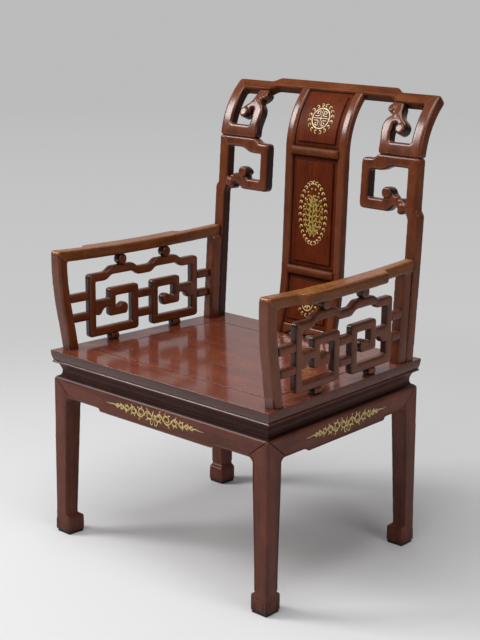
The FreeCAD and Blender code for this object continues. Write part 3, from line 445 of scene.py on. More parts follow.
def roundOver(piece, radius, grid, passes=1, swell=0.0):
    # pared in to a core and grown back out: arrises turn round, inner corners stay crisp
    band = 1.4
    voxelSkin(piece, grid, 0)
    bpy.ops.object.select_all(action="DESELECT")
    bpy.ops.object.volume_add()
    cloud = bpy.context.active_object
    bpy.ops.object.modifier_add(type="MESH_TO_VOLUME")
    fill = cloud.modifiers[-1]
    fill.object = piece
    fill.resolution_mode = "VOXEL_SIZE"
    fill.voxel_size = grid
    fill.interior_band_width = radius * band
    bpy.ops.mesh.primitive_cube_add(size=radius)
    core = bpy.context.active_object
    applyModifier(core, "VOLUME_TO_MESH", object=cloud, threshold=1.0 / band, use_smooth_shade=True)
    applyModifier(core, "SMOOTH", factor=0.5, iterations=4)
    applyModifier(core, "DISPLACE", strength=radius + swell, mid_level=0.0)
    voxelSkin(core, grid, passes)
    name = piece.name
    for spent in (cloud, piece):
        bpy.data.objects.remove(spent)
    core.name = name
    return core


def sawCut(piece, point, away, reach=None, kerf=0.12 * mm):
    # takes off what lies beyond the saw line, only near the point if a reach is given
    distances = numpy.linalg.norm(valuesOf(piece.data.polygons, "center") - numpy.array(point), axis=1)
    editOnly(piece, "FACE", distances < (reach or math.inf))
    away = Vector(away).normalized()
    bpy.ops.mesh.bisect(plane_co=Vector(point) - away * kerf, plane_no=away, use_fill=True, clear_outer=True)
    endEdit()


def keepPart(piece, seed):
    # keeps the loose part that holds the point nearest to the seed
    distances = numpy.linalg.norm(pointsOf(piece) - numpy.array(seed), axis=1)
    editOnly(piece, "VERT", numpy.arange(len(distances)) == distances.argmin())
    bpy.ops.mesh.select_linked()
    bpy.ops.mesh.select_all(action="INVERT")
    bpy.ops.mesh.delete(type="VERT")
    endEdit()


def stretchEnd(piece, point, away, length=14 * mm):
    # draws an end face out, so that rounding it leaves the real end square
    away = numpy.array(Vector(away).normalized())
    points = pointsOf(piece)
    beyond = (points - numpy.array(point)) @ away > -0.5 * mm
    points[beyond] += away * length
    movePoints(piece, points)


def sawnFrom(stock, name, cuts, seed):
    piece = copyPiece(stock, name)
    for point, away, reach in cuts:
        sawCut(piece, point, away, reach)
    keepPart(piece, seed)
    return smooth(piece, 42)


def dressBothSides(piece, node, look, axis, slotName="dark_wood", cut="plain", leftCut=None):
    # the right-hand piece, and its mirrored copy on the left
    twin = mirroredCopy(piece, node + "_left_carved")
    dress(piece, makeWood(look, axis, cut), slotName, node + "_right")
    dress(twin, makeWood(look, axis, leftCut or cut), slotName, node + "_left")


def easedMember(node, width, look, axis, slotName="dark_wood", cut="plain"):
    # straight members: every arris is eased with a small round
    piece = mergedCopy(node, node + "_eased")
    editAll(piece)
    bpy.ops.mesh.dissolve_limited(angle_limit=math.radians(0.5))
    endEdit()
    applyModifier(piece, "BEVEL", width=width, segments=3, limit_method="ANGLE", angle_limit=math.radians(38),
                  use_clamp_overlap=False, harden_normals=False)
    smooth(piece, 35)
    applyModifier(piece, "WEIGHTED_NORMAL", keep_sharp=True, weight=60)
    return dress(piece, makeWood(look, axis, cut), slotName, node)


# Straight members: width of the eased arris, finish, slot, and the sides of each family that get painted shade
memberSettings = {"seat_frame": (0.8 * mm, "seat", "seat_wood", "edge"),
                  "waist": (0.5 * mm, "shadedWaist", "dark_wood", "plain"),
                  "apron": (0.8 * mm, "leg", "dark_wood", "shoulder")}
panelSettings = {"ease": 0.4 * mm, "gapAbove": 422.0 * mm, "shareX": 0.9922, "shareY": 0.9895}
panel = easedMember("seat_panel", panelSettings["ease"], "seat", "x", "seat_wood")
for family, (width, look, slotName, cut) in memberSettings.items():
    for side, axis in (("front", "x"), ("rear", "x"), ("right", "y"), ("left", "y")):
        easedMember(family + "_" + side, width, look, axis, slotName, cut)
for level in ("top", "middle", "low"):
    easedMember("splat_panel_" + level, 1.6 * mm, "panel", "z")
easedMember("seat_battens", 1.5 * mm, "leg", "y")
# the floating panel keeps a narrow gap to its frame
points = pointsOf(panel)
upper = points[:, 2] > panelSettings["gapAbove"]
middleY = (points[:, 1].min() + points[:, 1].max()) / 2
points[upper, 0] *= panelSettings["shareX"]
points[upper, 1] = middleY + (points[upper, 1] - middleY) * panelSettings["shareY"]
movePoints(panel, points)
print("straight members eased")

# Faces of the back and of the splat, in millimetres: s runs up the front face from
# the seat top and d is the depth behind it
backCurve = {"foot": (173.92, 426.3), "footLean": 0.06, "footRadius": 195.0, "lean": 0.06,
             "straight": 424.5, "radius": 195.0}
splatCurve = {"foot": (167.02, 426.3), "footLean": 0.30, "footRadius": 628.0, "lean": 0.035,
              "straight": 260.2, "radius": 195.0}
seatTop = Vector((0.0, 0.0, 426.3 * mm))
down = -zUp
seatCut = (seatTop, down, None)


def curvePoint(curve, x, s, d=0.0):
    bendStart = (curve["footLean"] - curve["lean"]) * curve["footRadius"]
    bendEnd = bendStart + curve["straight"]
    y, z = curve["foot"]
    lean = curve["footLean"] - min(s, bendStart) / curve["footRadius"]
    y += curve["footRadius"] * (math.cos(lean) - math.cos(curve["footLean"]))
    z -= curve["footRadius"] * (math.sin(lean) - math.sin(curve["footLean"]))
    if s > bendStart:
        run = min(s, bendEnd) - bendStart
        y += run * math.sin(lean)
        z += run * math.cos(lean)
    if s > bendEnd:
        before = lean
        lean += (s - bendEnd) / curve["radius"]
        y += curve["radius"] * (math.cos(before) - math.cos(lean))
        z += curve["radius"] * (math.sin(lean) - math.sin(before))
    return Vector((x, y + d * math.cos(lean), z - d * math.sin(lean))) * mm


def curveAlong(curve, s):
    return (curvePoint(curve, 0, s + 0.5) - curvePoint(curve, 0, s - 0.5)).normalized()


def curveBehind(curve, s):
    return (curvePoint(curve, 0, s, 1.0) - curvePoint(curve, 0, s)).normalized()


def towards(normal, target, point):
    # the normal turned to the side where the target lies
    return normal if (Vector(target) - Vector(point)).dot(normal) > 0 else -normal


def mirrored(vector):
    return Vector((-vector.x, vector.y, vector.z))


# Back: posts, crest and squares, joined by mitres whose ends lie at two widths
backSettings = {"round": 3.6 * mm, "grid": 1.4 * mm, "crestGrid": 1.6 * mm, "lobeGrid": 1.2 * mm,
                "swell": 0.4 * mm, "trim": 238.0 * mm, "reach": 34.0 * mm, "rootReach": 36.0 * mm,
                "halfThick": 12.0, "mitreInner": 261.0, "mitreOuter": 282.0}


def atBack(x, s):
    return curvePoint(backCurve, x, s, backSettings["halfThick"])


def backMitre(sInner, sOuter, sMiddle):
    # a saw line across the back: its middle, and the normal that points inwards and up
    inner = curvePoint(backCurve, backSettings["mitreInner"], sInner)
    outer = curvePoint(backCurve, backSettings["mitreOuter"], sOuter)
    behind = curveBehind(backCurve, sMiddle)
    middle = (inner + outer) / 2 + behind * backSettings["halfThick"] * mm
    return middle, (outer - inner).cross(behind).normalized()


crestMitre = backMitre(558.0, 586.0, 572.0)
sillMitre = backMitre(467.0, 437.0, 452.0)
lintelMitre = backMitre(413.0, 437.0, 424.5)


def mitreCut(mitre, x, s):
    # a cut that takes off the side on which x and s lie
    point, normal = mitre
    return point, towards(normal, atBack(x, s), point), backSettings["reach"]


def carvedLobe(x, s, radius, near, far, ease):
    # a rounded boss that stands through the back, its axis square to the face
    behind = curveBehind(backCurve, s)
    middle = curvePoint(backCurve, x, s, (near + far) / 2)
    bpy.ops.object.select_all(action="DESELECT")
    bpy.ops.mesh.primitive_cylinder_add(vertices=32, radius=radius * mm, depth=(far - near) * mm,
                                        location=middle, rotation=behind.to_track_quat("Z", "Y").to_euler())
    lobe = bpy.context.active_object
    bpy.ops.object.transform_apply(location=True, rotation=True, scale=True)
    applyModifier(lobe, "BEVEL", width=ease * mm, segments=4, limit_method="ANGLE", angle_limit=math.radians(40))
    return lobe


def backStock(name, nodes, lobes, lowerEnd=False):
    parts = []
    for node in nodes:
        parts.append(mergedCopy(node, node + "_stock"))
        if node == "crest_rail":
            sawCut(parts[-1], (backSettings["trim"], 0, 0), (-1, 0, 0), kerf=0.0)
    stock = joinAll(parts, name)
    if lowerEnd:
        stretchEnd(stock, seatTop, down)
    stock = roundOver(stock, backSettings["round"], backSettings["grid"], swell=backSettings["swell"])
    stock = joinAll([stock] + [carvedLobe(*lobe) for lobe in lobes], name)
    voxelSkin(stock, backSettings["lobeGrid"], 2)
    return stock


crestStock = joinAll([mergedCopy(node, node + "_stock") for node in
                      ("crest_rail", "back_post_upper_right", "back_post_upper_left")], "crestStock")
crestStock = roundOver(crestStock, backSettings["round"], backSettings["crestGrid"], swell=backSettings["swell"])
point, away, reach = mitreCut(crestMitre, 275, 520)
crest = sawnFrom(crestStock, "crest_rail_carved",
                 [(point, away, reach), (mirrored(point), mirrored(away), reach)], atBack(0, 585))
dress(crest, makeWood("crest", "x", "back"), "dark_wood", "crest_rail")

# x, s, radius, front and rear depth, easing of each carved curl
upperLobes = [(226.5, 494.5, 12.0, -5.5, 21.0, 5.0), (185.0, 541.0, 10.0, -3.0, 17.0, 4.5),
              (205.0, 527.0, 8.0, -1.5, 15.0, 4.0), (212.5, 517.5, 5.0, 3.0, 15.0, 2.5)]
lowerLobes = [(211.0, 356.0, 13.0, -4.5, 20.0, 5.5), (252.0, 328.0, 9.5, -3.0, 16.0, 4.0),
              (236.5, 345.0, 6.0, -0.5, 14.0, 3.0)]
upperStock = backStock("upperStock", ["back_post_upper_right", "upper_square_right", "crest_rail"], upperLobes)
upperPost = sawnFrom(upperStock, "back_post_upper_right_carved",
                     [mitreCut(crestMitre, 245, 575), mitreCut(sillMitre, 240, 445)], atBack(275, 515))
upperSquare = sawnFrom(upperStock, "upper_square_right_carved", [mitreCut(sillMitre, 280, 480)],
                       atBack(215, 450))
lowerStock = backStock("lowerStock", ["back_post_lower_right", "lower_square_right"], lowerLobes, lowerEnd=True)
rootPoint, rootReach = atBack(260.35, 333.0), backSettings["rootReach"]
lowerPost = sawnFrom(lowerStock, "back_post_lower_right_carved",
                     [mitreCut(lintelMitre, 230, 430), (rootPoint, (-1, 0, 0), rootReach), seatCut],
                     atBack(280, 200))
lowerSquare = sawnFrom(lowerStock, "lower_square_right_carved",
                       [mitreCut(lintelMitre, 280, 400), (rootPoint, (1, 0, 0), rootReach)], atBack(148, 370))
for stock in (crestStock, upperStock, lowerStock):
    bpy.data.objects.remove(stock)
for level, post, square in (("upper", upperPost, upperSquare), ("lower", lowerPost, lowerSquare)):
    dressBothSides(post, "back_post_" + level, "dark", "z", cut="postRight", leftCut="postLeft")
    dressBothSides(square, level + "_square", "dark", "z", cut="back")
print("back carved")

# Arms: one run of wood from post over rail to stile, sawn at its two mitres
armSettings = {"round": 3.4 * mm, "grid": 1.4 * mm, "reach": 44.0 * mm,
               "frontMitre": ((311.0 * mm, -283.4 * mm, 634.0 * mm), Vector((0.0, 0.625, 0.78))),
               "rearMitre": ((300.0 * mm, 172.7 * mm, 637.0 * mm), Vector((0.0, 0.665, -0.747)))}
armStock = joinAll([mergedCopy(node + "_right", node + "_stock") for node in ("arm_post", "arm_rail", "arm_stile")],
                   "armStock")
stretchEnd(armStock, seatTop, down)
armStock = roundOver(armStock, armSettings["round"], armSettings["grid"])
frontPoint, intoRail = armSettings["frontMitre"]
rearPoint, pastRail = armSettings["rearMitre"]
reach = armSettings["reach"]
armRail = sawnFrom(armStock, "arm_rail_right_carved",
                   [(frontPoint, -intoRail, reach), (rearPoint, pastRail, reach)], (0.325, -0.05, 0.645))
armPost = sawnFrom(armStock, "arm_post_right_carved", [(frontPoint, intoRail, reach), seatCut],
                   (0.305, -0.283, 0.52))
armStile = sawnFrom(armStock, "arm_stile_right_carved", [(rearPoint, -pastRail, reach), seatCut],
                    (0.285, 0.165, 0.52))
bpy.data.objects.remove(armStock)
dressBothSides(armRail, "arm_rail", "arm", "y", "arm_wood", cut="rail")
dressBothSides(armPost, "arm_post", "dark", "z")
dressBothSides(armStile, "arm_stile", "dark", "z")
print("arms carved")

# Plan of the seat in millimetres, and the line of its right side
seatPlan = {"front": -298.48, "rear": 220.52, "frontHalf": 325.0, "rearHalf": 299.4, "apronInset": 4.0}
taper = math.atan((seatPlan["frontHalf"] - seatPlan["rearHalf"]) / (seatPlan["rear"] - seatPlan["front"]))
alongSide = Vector((-math.sin(taper), math.cos(taper), 0.0))
intoSide = Vector((-math.cos(taper), -math.sin(taper), 0.0))
sideMiddle = Vector(((seatPlan["frontHalf"] + seatPlan["rearHalf"]) / 2,
                     (seatPlan["front"] + seatPlan["rear"]) / 2, 0.0))


def sidePoint(u, height, depth=16.0):
    return sideMiddle * mm + (alongSide * u + intoSide * depth) * mm + Vector((0, 0, height * mm))


# Arm lattice: each end has its outer line, the way inwards, and the root and eye of its spiral
latticeSettings = {"round": 2.4 * mm, "grid": 1.2 * mm, "swell": 0.8 * mm, "corner": 17.0 * mm,
                   "leaf": 24.0 * mm, "spiral": 26.0 * mm, "root": 16.0 * mm, "low": 441.0, "high": 584.0,
                   "half": 9.0, "sawLine": 19.3, "leafHeight": 64.0, "eyeHeight": 104.0, "inward": 60.0,
                   "ends": ((-167.0, 1, -35.0, -68.0), (155.0, -1, 24.0, 57.0)),
                   "smallGrid": 1.1 * mm, "smallSwell": 0.5 * mm}
low, high, half = (latticeSettings[label] for label in ("low", "high", "half"))
latticeNodes = ["lattice_top", "lattice_uprights", "lattice_sills", "spiral_front", "spiral_rear"]
latticeStock = joinAll([mergedCopy(node + "_right", node + "_stock") for node in latticeNodes], "latticeStock")
latticeStock = roundOver(latticeStock, latticeSettings["round"], latticeSettings["grid"],
                         swell=latticeSettings["swell"])


def cornerCut(u, height, slope, awayU, awayHeight):
    # a mitre through a corner of the lattice; slope is 1 or -1
    normal = (alongSide + zUp * slope).cross(intoSide)
    middle = sidePoint(u, height)
    return middle, towards(normal, sidePoint(awayU, awayHeight), middle), latticeSettings["corner"]


topCuts, uprights, sills, spirals = [], [], [], []
for name, (outer, way, rootU, eyeU) in zip(("spiral_front", "spiral_rear"), latticeSettings["ends"]):
    topCorner = (outer + way * half, high - half, -way)
    lowCorner = (outer + way * half, low + half, way)
    inner = outer + way * latticeSettings["inward"]
    leafPoint = sidePoint(outer + way * latticeSettings["sawLine"], low + latticeSettings["leafHeight"])
    rootPoint = sidePoint(rootU, low + latticeSettings["sawLine"])
    topCuts.append(cornerCut(*topCorner, outer, low))
    uprights.append(sawnFrom(latticeStock, "latticeUpright",
                             [cornerCut(*topCorner, inner, high), cornerCut(*lowCorner, inner, low),
                              (leafPoint, alongSide * way, latticeSettings["leaf"])],
                             sidePoint(outer + way * half, (low + high) / 2)))
    sills.append(sawnFrom(latticeStock, "latticeSill",
                          [cornerCut(*lowCorner, outer, high), (rootPoint, zUp, latticeSettings["root"])],
                          sidePoint((outer + rootU) / 2, low)))
    spirals.append(sawnFrom(latticeStock, name + "_right_carved",
                            [(leafPoint, alongSide * -way, latticeSettings["spiral"]),
                             (rootPoint, down, latticeSettings["root"])],
                            sidePoint(eyeU, low + latticeSettings["eyeHeight"])))
middleU = sum(end[0] for end in latticeSettings["ends"]) / 2
latticeTop = sawnFrom(latticeStock, "lattice_top_right_carved", topCuts, sidePoint(middleU, high))
bpy.data.objects.remove(latticeStock)
for node, piece, axis in (("lattice_top", latticeTop, "y"),
                          ("lattice_uprights", joinAll(uprights, "lattice_uprights_right_carved"), "z"),
                          ("lattice_sills", joinAll(sills, "lattice_sills_right_carved"), "y"),
                          ("spiral_front", spirals[0], "y"), ("spiral_rear", spirals[1], "y")):
    dressBothSides(piece, node, "dark", axis, cut="lattice")
for node, radius, axis in (("lattice_ties", 2.6, "y"), ("lattice_drums", 2.4, "x")):
    small = roundOver(mergedCopy(node + "_right", node + "_right_carved"), radius * mm,
                      latticeSettings["smallGrid"], swell=latticeSettings["smallSwell"])
    dressBothSides(smooth(small), node, "dark", axis, cut="lattice")
print("lattice carved")

legSettings = {"round": 1.9 * mm, "grid": 1.1 * mm}
for node in ("leg_front", "leg_rear"):
    leg = roundOver(mergedCopy(node + "_right", node + "_right_carved"), legSettings["round"], legSettings["grid"])
    dressBothSides(smooth(leg), node, "leg", "z")
print("legs carved")

# Splat: soft stiles, proud rounded rails and a small arched apron
splatSettings = {"stileRound": 4.2 * mm, "grid": 1.3 * mm, "railHalf": 70.0, "railTall": 20.0,
                 "railProud": 3.0, "railRear": 13.0, "railLow": 141.5, "railMiddle": 414.0,
                 "crown": 7.0 * mm, "crownRise": 3.0 * mm, "railEase": 3.2 * mm,
                 "footRound": 2.5 * mm, "footGrid": 1.0 * mm}
stileEnds = ((seatTop, down), (curvePoint(backCurve, 0.0, 571.0), curveAlong(backCurve, 572.0)))
stile = mergedCopy("splat_stile_right", "splat_stile_right_carved")
for point, away in stileEnds:
    stretchEnd(stile, point, away)
stile = roundOver(stile, splatSettings["stileRound"], splatSettings["grid"])
for point, away in stileEnds:
    sawCut(stile, point, away)
dressBothSides(smooth(stile, 42), "splat_stile", "dark", "z")

near, far = -splatSettings["railProud"], splatSettings["railRear"]
for node, base in (("splat_rail_low", splatSettings["railLow"]), ("splat_rail_middle", splatSettings["railMiddle"])):
    middle = base + splatSettings["railTall"] / 2
    bpy.ops.object.select_all(action="DESELECT")
    bpy.ops.mesh.primitive_cube_add(size=1.0, location=curvePoint(splatCurve, 0.0, middle, (near + far) / 2),
                                    rotation=(-math.acos(curveAlong(splatCurve, middle).z), 0.0, 0.0),
                                    scale=(2 * splatSettings["railHalf"] * mm, (far - near) * mm,
                                           splatSettings["railTall"] * mm))
    rail = bpy.context.active_object
    rail.name = node + "_moulded"
    bpy.ops.object.transform_apply(location=True, rotation=True, scale=True)
    # the front face is drawn in to a crown, and its mitred ends follow
    frontNormal = -curveBehind(splatCurve, middle)
    editOnly(rail, "FACE", [face.normal.dot(frontNormal) > 0.9 for face in rail.data.polygons])
    bpy.ops.mesh.inset(thickness=splatSettings["crown"], depth=0.0)
    bpy.ops.transform.translate(value=frontNormal * splatSettings["crownRise"])
    bpy.ops.mesh.select_all(action="SELECT")
    bpy.ops.mesh.bevel(offset=splatSettings["railEase"], segments=4, affect="EDGES", clamp_overlap=True)
    endEdit()
    smooth(rail, 30)
    applyModifier(rail, "WEIGHTED_NORMAL", keep_sharp=True, weight=60)
    dress(rail, makeWood("crest", "x"), "dark_wood", node)
footApron = roundOver(mergedCopy("splat_foot_apron", "splat_foot_apron_carved"), splatSettings["footRound"],
                      splatSettings["footGrid"])
dress(smooth(footApron), makeWood("dark", "x"), "dark_wood", "splat_foot_apron")
paint(frame["nodes"]["foot_pads"], padFinish)
print("splat carved")


def newScroll(name, turns=3):
    # drawn flat, in millimetres, as round wires of changing width
    curve = bpy.data.curves.new(name, "CURVE")
    curve.dimensions = "3D"
    curve.bevel_depth = 1.0 * mm
    curve.bevel_resolution = 1
    curve.resolution_u = turns
    curve.use_fill_caps = True
    scroll = bpy.data.objects.new(name, curve)
    bpy.context.scene.collection.objects.link(scroll)
    return scroll


def addStroke(scroll, points, widths, closed=False, order=3):
    spline = scroll.data.splines.new("NURBS")
    spline.points.add(len(points) - 1)
    for knot, (x, y), width in zip(spline.points, points, widths):
        knot.co = (x * mm, y * mm, 0.0, 1.0)
        knot.radius = width
    spline.order_u = order
    spline.use_endpoint_u = not closed
    spline.use_cyclic_u = closed


# A curl winds in from a thin tail to a round end; a leaf bends a little and ends in a point
curlShape = {"steps": 6, "sweep": 250, "windIn": 0.66, "tail": 0.35, "swell": 0.85}
leafShape = {"shares": (0.0, 0.35, 0.7, 1.0), "widths": (0.5, 1.0, 0.7, 0.15), "bend": 0.18, "turn": 3.1}


def addCurl(scroll, x, y, size, start, hand, width):
    points, widths = [], []
    for step in range(curlShape["steps"] + 1):
        share = step / curlShape["steps"]
        angle = math.radians(start + hand * curlShape["sweep"] * share)
        radius = size * (1.0 - curlShape["windIn"] * share)
        points.append((x + radius * math.cos(angle), y + radius * math.sin(angle)))
        widths.append(width * (curlShape["tail"] + curlShape["swell"] * share))
    addStroke(scroll, points, widths)


def addLeaf(scroll, x, y, angle, length, width):
    cosine, sine = math.cos(math.radians(angle)), math.sin(math.radians(angle))
    points = []
    for share in leafShape["shares"]:
        run, side = length * share, length * leafShape["bend"] * math.sin(share * leafShape["turn"])
        points.append((x + cosine * run - sine * side, y + sine * run + cosine * side))
    addStroke(scroll, points, [width * share for share in leafShape["widths"]])


def addDot(scroll, x, y, radius):
    addStroke(scroll, [(x - 0.6 * radius, y), (x, y), (x + 0.6 * radius, y)], [radius * 0.8, radius, radius * 0.8])


def ringOfCurls(scroll, count, radiusX, radiusY, size, width):
    for index in range(count):
        angle = 2 * halfTurn * (index + 0.5) / count
        x, y = radiusX * math.cos(angle), radiusY * math.sin(angle)
        hand = 1 if x > 0 else -1
        outward = math.degrees(math.atan2(radiusX * math.sin(angle), radiusY * math.cos(angle)))
        addCurl(scroll, x, y, size, outward - hand * 40, hand, width)


def flatMesh(scroll, flatness):
    activate(scroll)
    bpy.ops.object.convert(target="MESH")
    piece = bpy.context.active_object
    editAll(piece)
    bpy.ops.mesh.remove_doubles(threshold=0.02 * mm)
    endEdit()
    return turnOutwards(piece, (1.0, 1.0, flatness))


def goldOnSplat(scroll, flatness, centre, gold, surface=2.5):
    piece = flatMesh(scroll, flatness)
    laid = [curvePoint(splatCurve, x / mm, centre + y / mm, surface - z / mm) for x, y, z in pointsOf(piece)]
    return paint(movePoints(piece, laid), gold)


def layFlat(piece, origin, right, out):
    piece.data.transform(Matrix.Translation(origin) @ Matrix((right, zUp, out)).transposed().to_4x4())
    return turnOutwards(piece)


# Medallions: a ring with a plain fret, an oval of scrolling leaves, and a small flower
medallionSettings = {"top": 501.0, "middle": 286.5, "low": 78.0, "ring": 24.6, "ringWidth": 1.6, "bar": 22.5,
                     "barWidth": 1.15, "haloRing": 31.4, "ovalRing": (37.0, 68.0), "dotRing": (28.0, 54.0),
                     "flowerRing": 24.5, "innerShare": 0.62, "petals": 8,
                     "hook": [(18.4, 5.2), (5.2, 5.2), (5.2, 18.4), (12.8, 15.6), (12.8, 10.4), (9.2, 10.4)],
                     "stem": [(0, -50), (3.0, -34), (-3.0, -14), (2.5, 8), (-2.0, 26), (0, 42)],
                     "stemWidths": [2.2, 2.4, 2.2, 2.0, 1.6, 0.8]}
# height, spread and size of each pair of curls along the stem
branches = [(-44, 9, 6.0), (-36, 15, 8.0), (-25, 20, 8.5), (-13, 22, 8.5), (-1, 21, 8.5), (11, 20, 8.0),
            (22, 16, 7.5), (32, 11, 6.0)]

fret = newScroll("fret")
ringRadius, bar, barWidth = (medallionSettings[label] for label in ("ring", "bar", "barWidth"))
ring = [(ringRadius * math.cos(halfTurn * step / 8), ringRadius * math.sin(halfTurn * step / 8))
        for step in range(16)]
addStroke(fret, ring, [medallionSettings["ringWidth"]] * 16, closed=True)
for barEnd in ((0.0, bar), (bar, 0.0)):
    addStroke(fret, [(-barEnd[0], -barEnd[1]), barEnd], [barWidth] * 2, order=2)
for sideX in (-1, 1):
    for sideY in (-1, 1):
        hook = [(x * sideX, y * sideY) for x, y in medallionSettings["hook"]]
        addStroke(fret, hook, [barWidth] * len(hook), order=2)
fret = goldOnSplat(fret, 0.35, medallionSettings["top"], paleGold)
halo = newScroll("halo")
ringOfCurls(halo, 16, medallionSettings["haloRing"], medallionSettings["haloRing"], 5.4, 1.6)
halo = goldOnSplat(halo, 0.35, medallionSettings["top"], vineGold)

ovalRim = newScroll("ovalRim")
ringOfCurls(ovalRim, 30, *medallionSettings["ovalRing"], 5.4, 1.75)
dotX, dotY = medallionSettings["dotRing"]
for step in range(16):
    angle = 2 * halfTurn * (step + 0.5) / 16
    addDot(ovalRim, dotX * math.cos(angle), 1.0 + dotY * math.sin(angle), 2.5)
ovalRim = goldOnSplat(ovalRim, 0.30, medallionSettings["middle"], vineGold)
ovalHeart = newScroll("ovalHeart")
addStroke(ovalHeart, medallionSettings["stem"], medallionSettings["stemWidths"])
for y, spread, size in branches:
    for side in (-1, 1):
        addCurl(ovalHeart, side * spread * 0.62, y, size, 90 - side * 70, -side, 2.5)
        addCurl(ovalHeart, side * (spread + 3.0), y + 5.0, size * 0.55, 90 - side * 150, side, 1.9)
        addLeaf(ovalHeart, side * 2.0, y + 3.0, 90 - side * 55, size * 1.5, 2.8)
ovalHeart = goldOnSplat(ovalHeart, 0.20, medallionSettings["middle"], oldGold)

flower = newScroll("flower")
ringOfCurls(flower, 14, medallionSettings["flowerRing"], medallionSettings["flowerRing"], 4.6, 1.6)
innerShare = medallionSettings["innerShare"]
addStroke(flower, [(x * innerShare, y * innerShare) for x, y in ring], [1.3] * 16, closed=True)
for petal in range(medallionSettings["petals"]):
    turn = petal * 2 * halfTurn / medallionSettings["petals"]
    addLeaf(flower, 3.0 * math.cos(turn), 3.0 * math.sin(turn), math.degrees(turn), 10.0, 2.6)
addDot(flower, 0.0, 0.0, 2.6)
flower = goldOnSplat(flower, 0.30, medallionSettings["low"], vineGold)
medallions = smooth(joinAll([fret, halo, ovalRim, ovalHeart, flower], "splat_inlays_scroll"))
fasten(medallions, "gold_inlay", "splat_inlays")

# Apron ornament: rings of acanthus that grow smaller both ways and end in long tails
vineSettings = {"width": 1.55, "flatness": 0.25, "frontHeight": 345.05, "sideHeight": 344.15, "sideShare": 0.93,
                "rings": [(14.0, 11.5), (39.0, 12.0), (62.0, 9.5), (82.0, 7.5), (98.0, 5.6), (111.0, 4.0)],
                "tail": [(122, 1.5, 0.8), (134, -1.0, 0.55)], "tip": (147.0, 0.25),
                "windStart": 200, "windStep": 42, "windSteps": 9, "windIn": 0.095, "thinning": 0.06}


def drawVine(name, share):
    vine = newScroll(name)
    width = vineSettings["width"]
    steps = range(vineSettings["windSteps"])
    for side in (-1, 1):
        stem, stemWidths = [(0.0, -9.0)], [width]
        for index, (x, size) in enumerate(vineSettings["rings"]):
            lift = 1 if index % 2 else -1
            stem += [(side * x, -lift * size), (side * (x + size), -lift * size * 0.25)]
            stemWidths += [width * 1.25, width]
            wound = []
            for step in steps:
                turn = math.radians(vineSettings["windStart"] - vineSettings["windStep"] * step)
                reach = size * (1.0 - vineSettings["windIn"] * step)
                wound.append((side * (x + reach * math.cos(turn)), lift * reach * math.sin(turn)))
            addStroke(vine, wound, [width * (1.2 - vineSettings["thinning"] * step) for step in steps])
            for turn, reach in ((120, 0.95), (65, 0.85)):
                angle = math.radians(turn)
                addLeaf(vine, side * (x + size * 0.8 * math.cos(angle)), lift * size * 0.8 * math.sin(angle),
                        lift * (90 - side * (90 - turn) - side * 40), size * reach * 0.7, width * 1.1)
            addLeaf(vine, side * (x + size * 0.3), -lift * size * 0.9, -lift * (90 - side * 35), size * 0.6,
                    width * 1.1)
        for x, y, thinner in vineSettings["tail"]:
            stem.append((side * x, y))
            stemWidths.append(width * thinner)
        tipX, tipWidth = vineSettings["tip"]
        addStroke(vine, stem + [(side * tipX, 0)], stemWidths + [tipWidth])
        addCurl(vine, side * 7.0, -15.5, 5.6, 90 + side * 40, side, width)
    addLeaf(vine, 0.0, -2.0, 90, 15.0, width * 1.6)
    return turnOutwards(flatMesh(vine, vineSettings["flatness"]), (share, 1.0, 1.0))


apronInset = seatPlan["apronInset"]
frontFace = Vector((0.0, (seatPlan["front"] + apronInset) * mm, 0.0))
rearFace = Vector((0.0, (seatPlan["rear"] - apronInset) * mm, 0.0))
sideFace = sidePoint(0.0, 0.0, apronInset)
xRight, yBack = Vector((1, 0, 0)), Vector((0, 1, 0))
vineFront = layFlat(drawVine("vineFront", 1.0), frontFace + zUp * (vineSettings["frontHeight"] * mm), xRight, -yBack)
vineRight = layFlat(drawVine("vineRight", vineSettings["sideShare"]),
                    sideFace + zUp * (vineSettings["sideHeight"] * mm), alongSide, -intoSide)
vines = joinAll([vineFront, vineRight, mirroredCopy(vineRight, "vineLeft")], "apron_inlays_scroll")
dress(smooth(vines), vineGold, "gold_inlay", "apron_inlays")
print("gold scrolls laid")

# A fine bead runs up the legs and under the aprons, and the feet carry a square scroll
beadSettings = {"width": 1.5, "inset": 2.0, "neck": 50.0, "footInside": 36.5, "topInside": 45.0,
                "turns": 5, "flatness": 0.55}
footSettings = {"border": [(4, 7), (4, 20), (4, 31), (9, 36), (14, 36), (19, 40), (24, 41.5), (29, 40), (34, 36),
                           (39, 36), (42, 31), (42, 20), (42, 7)], "borderWidth": 1.2,
                "scroll": [(36, 7), (36, 29), (13, 29), (13, 12), (28, 12), (28, 21), (20, 21)],
                "scrollWidths": [1.5, 1.5, 1.5, 1.4, 1.3, 1.2, 1.0]}
# the legs lean out from the apron down to the foot
splaySettings = {"top": 358.3 * mm, "height": 353.3 * mm, "lean": 2.0 * mm}


def beadPath(halfLength, base, lobe, lobeHalf):
    inset, neck = beadSettings["inset"], beadSettings["neck"]
    legFoot = halfLength - beadSettings["footInside"] + inset
    legTop = halfLength - beadSettings["topInside"] + inset
    line, dip = base + inset, lobe + inset
    right = [(0.0, dip), (lobeHalf - 14, dip), (lobeHalf - 1, dip), (lobeHalf + 9, dip), (lobeHalf + 10, line),
             (lobeHalf + 20, line), (lobeHalf + 34, line), (legTop - 50, line), (legTop - 17, line),
             (legTop, line), (legTop, line - 17), (legTop + 0.4, line - 50),
             ((legTop + legFoot) / 2, (line + neck) / 2), (legFoot, neck + 30), (legFoot, neck)]
    return [(-x, z) for x, z in reversed(right[1:])] + right


def drawBead(name, *shape):
    scroll = newScroll(name, beadSettings["turns"])
    path = beadPath(*shape)
    addStroke(scroll, path, [beadSettings["width"]] * len(path))
    return flatMesh(scroll, beadSettings["flatness"])


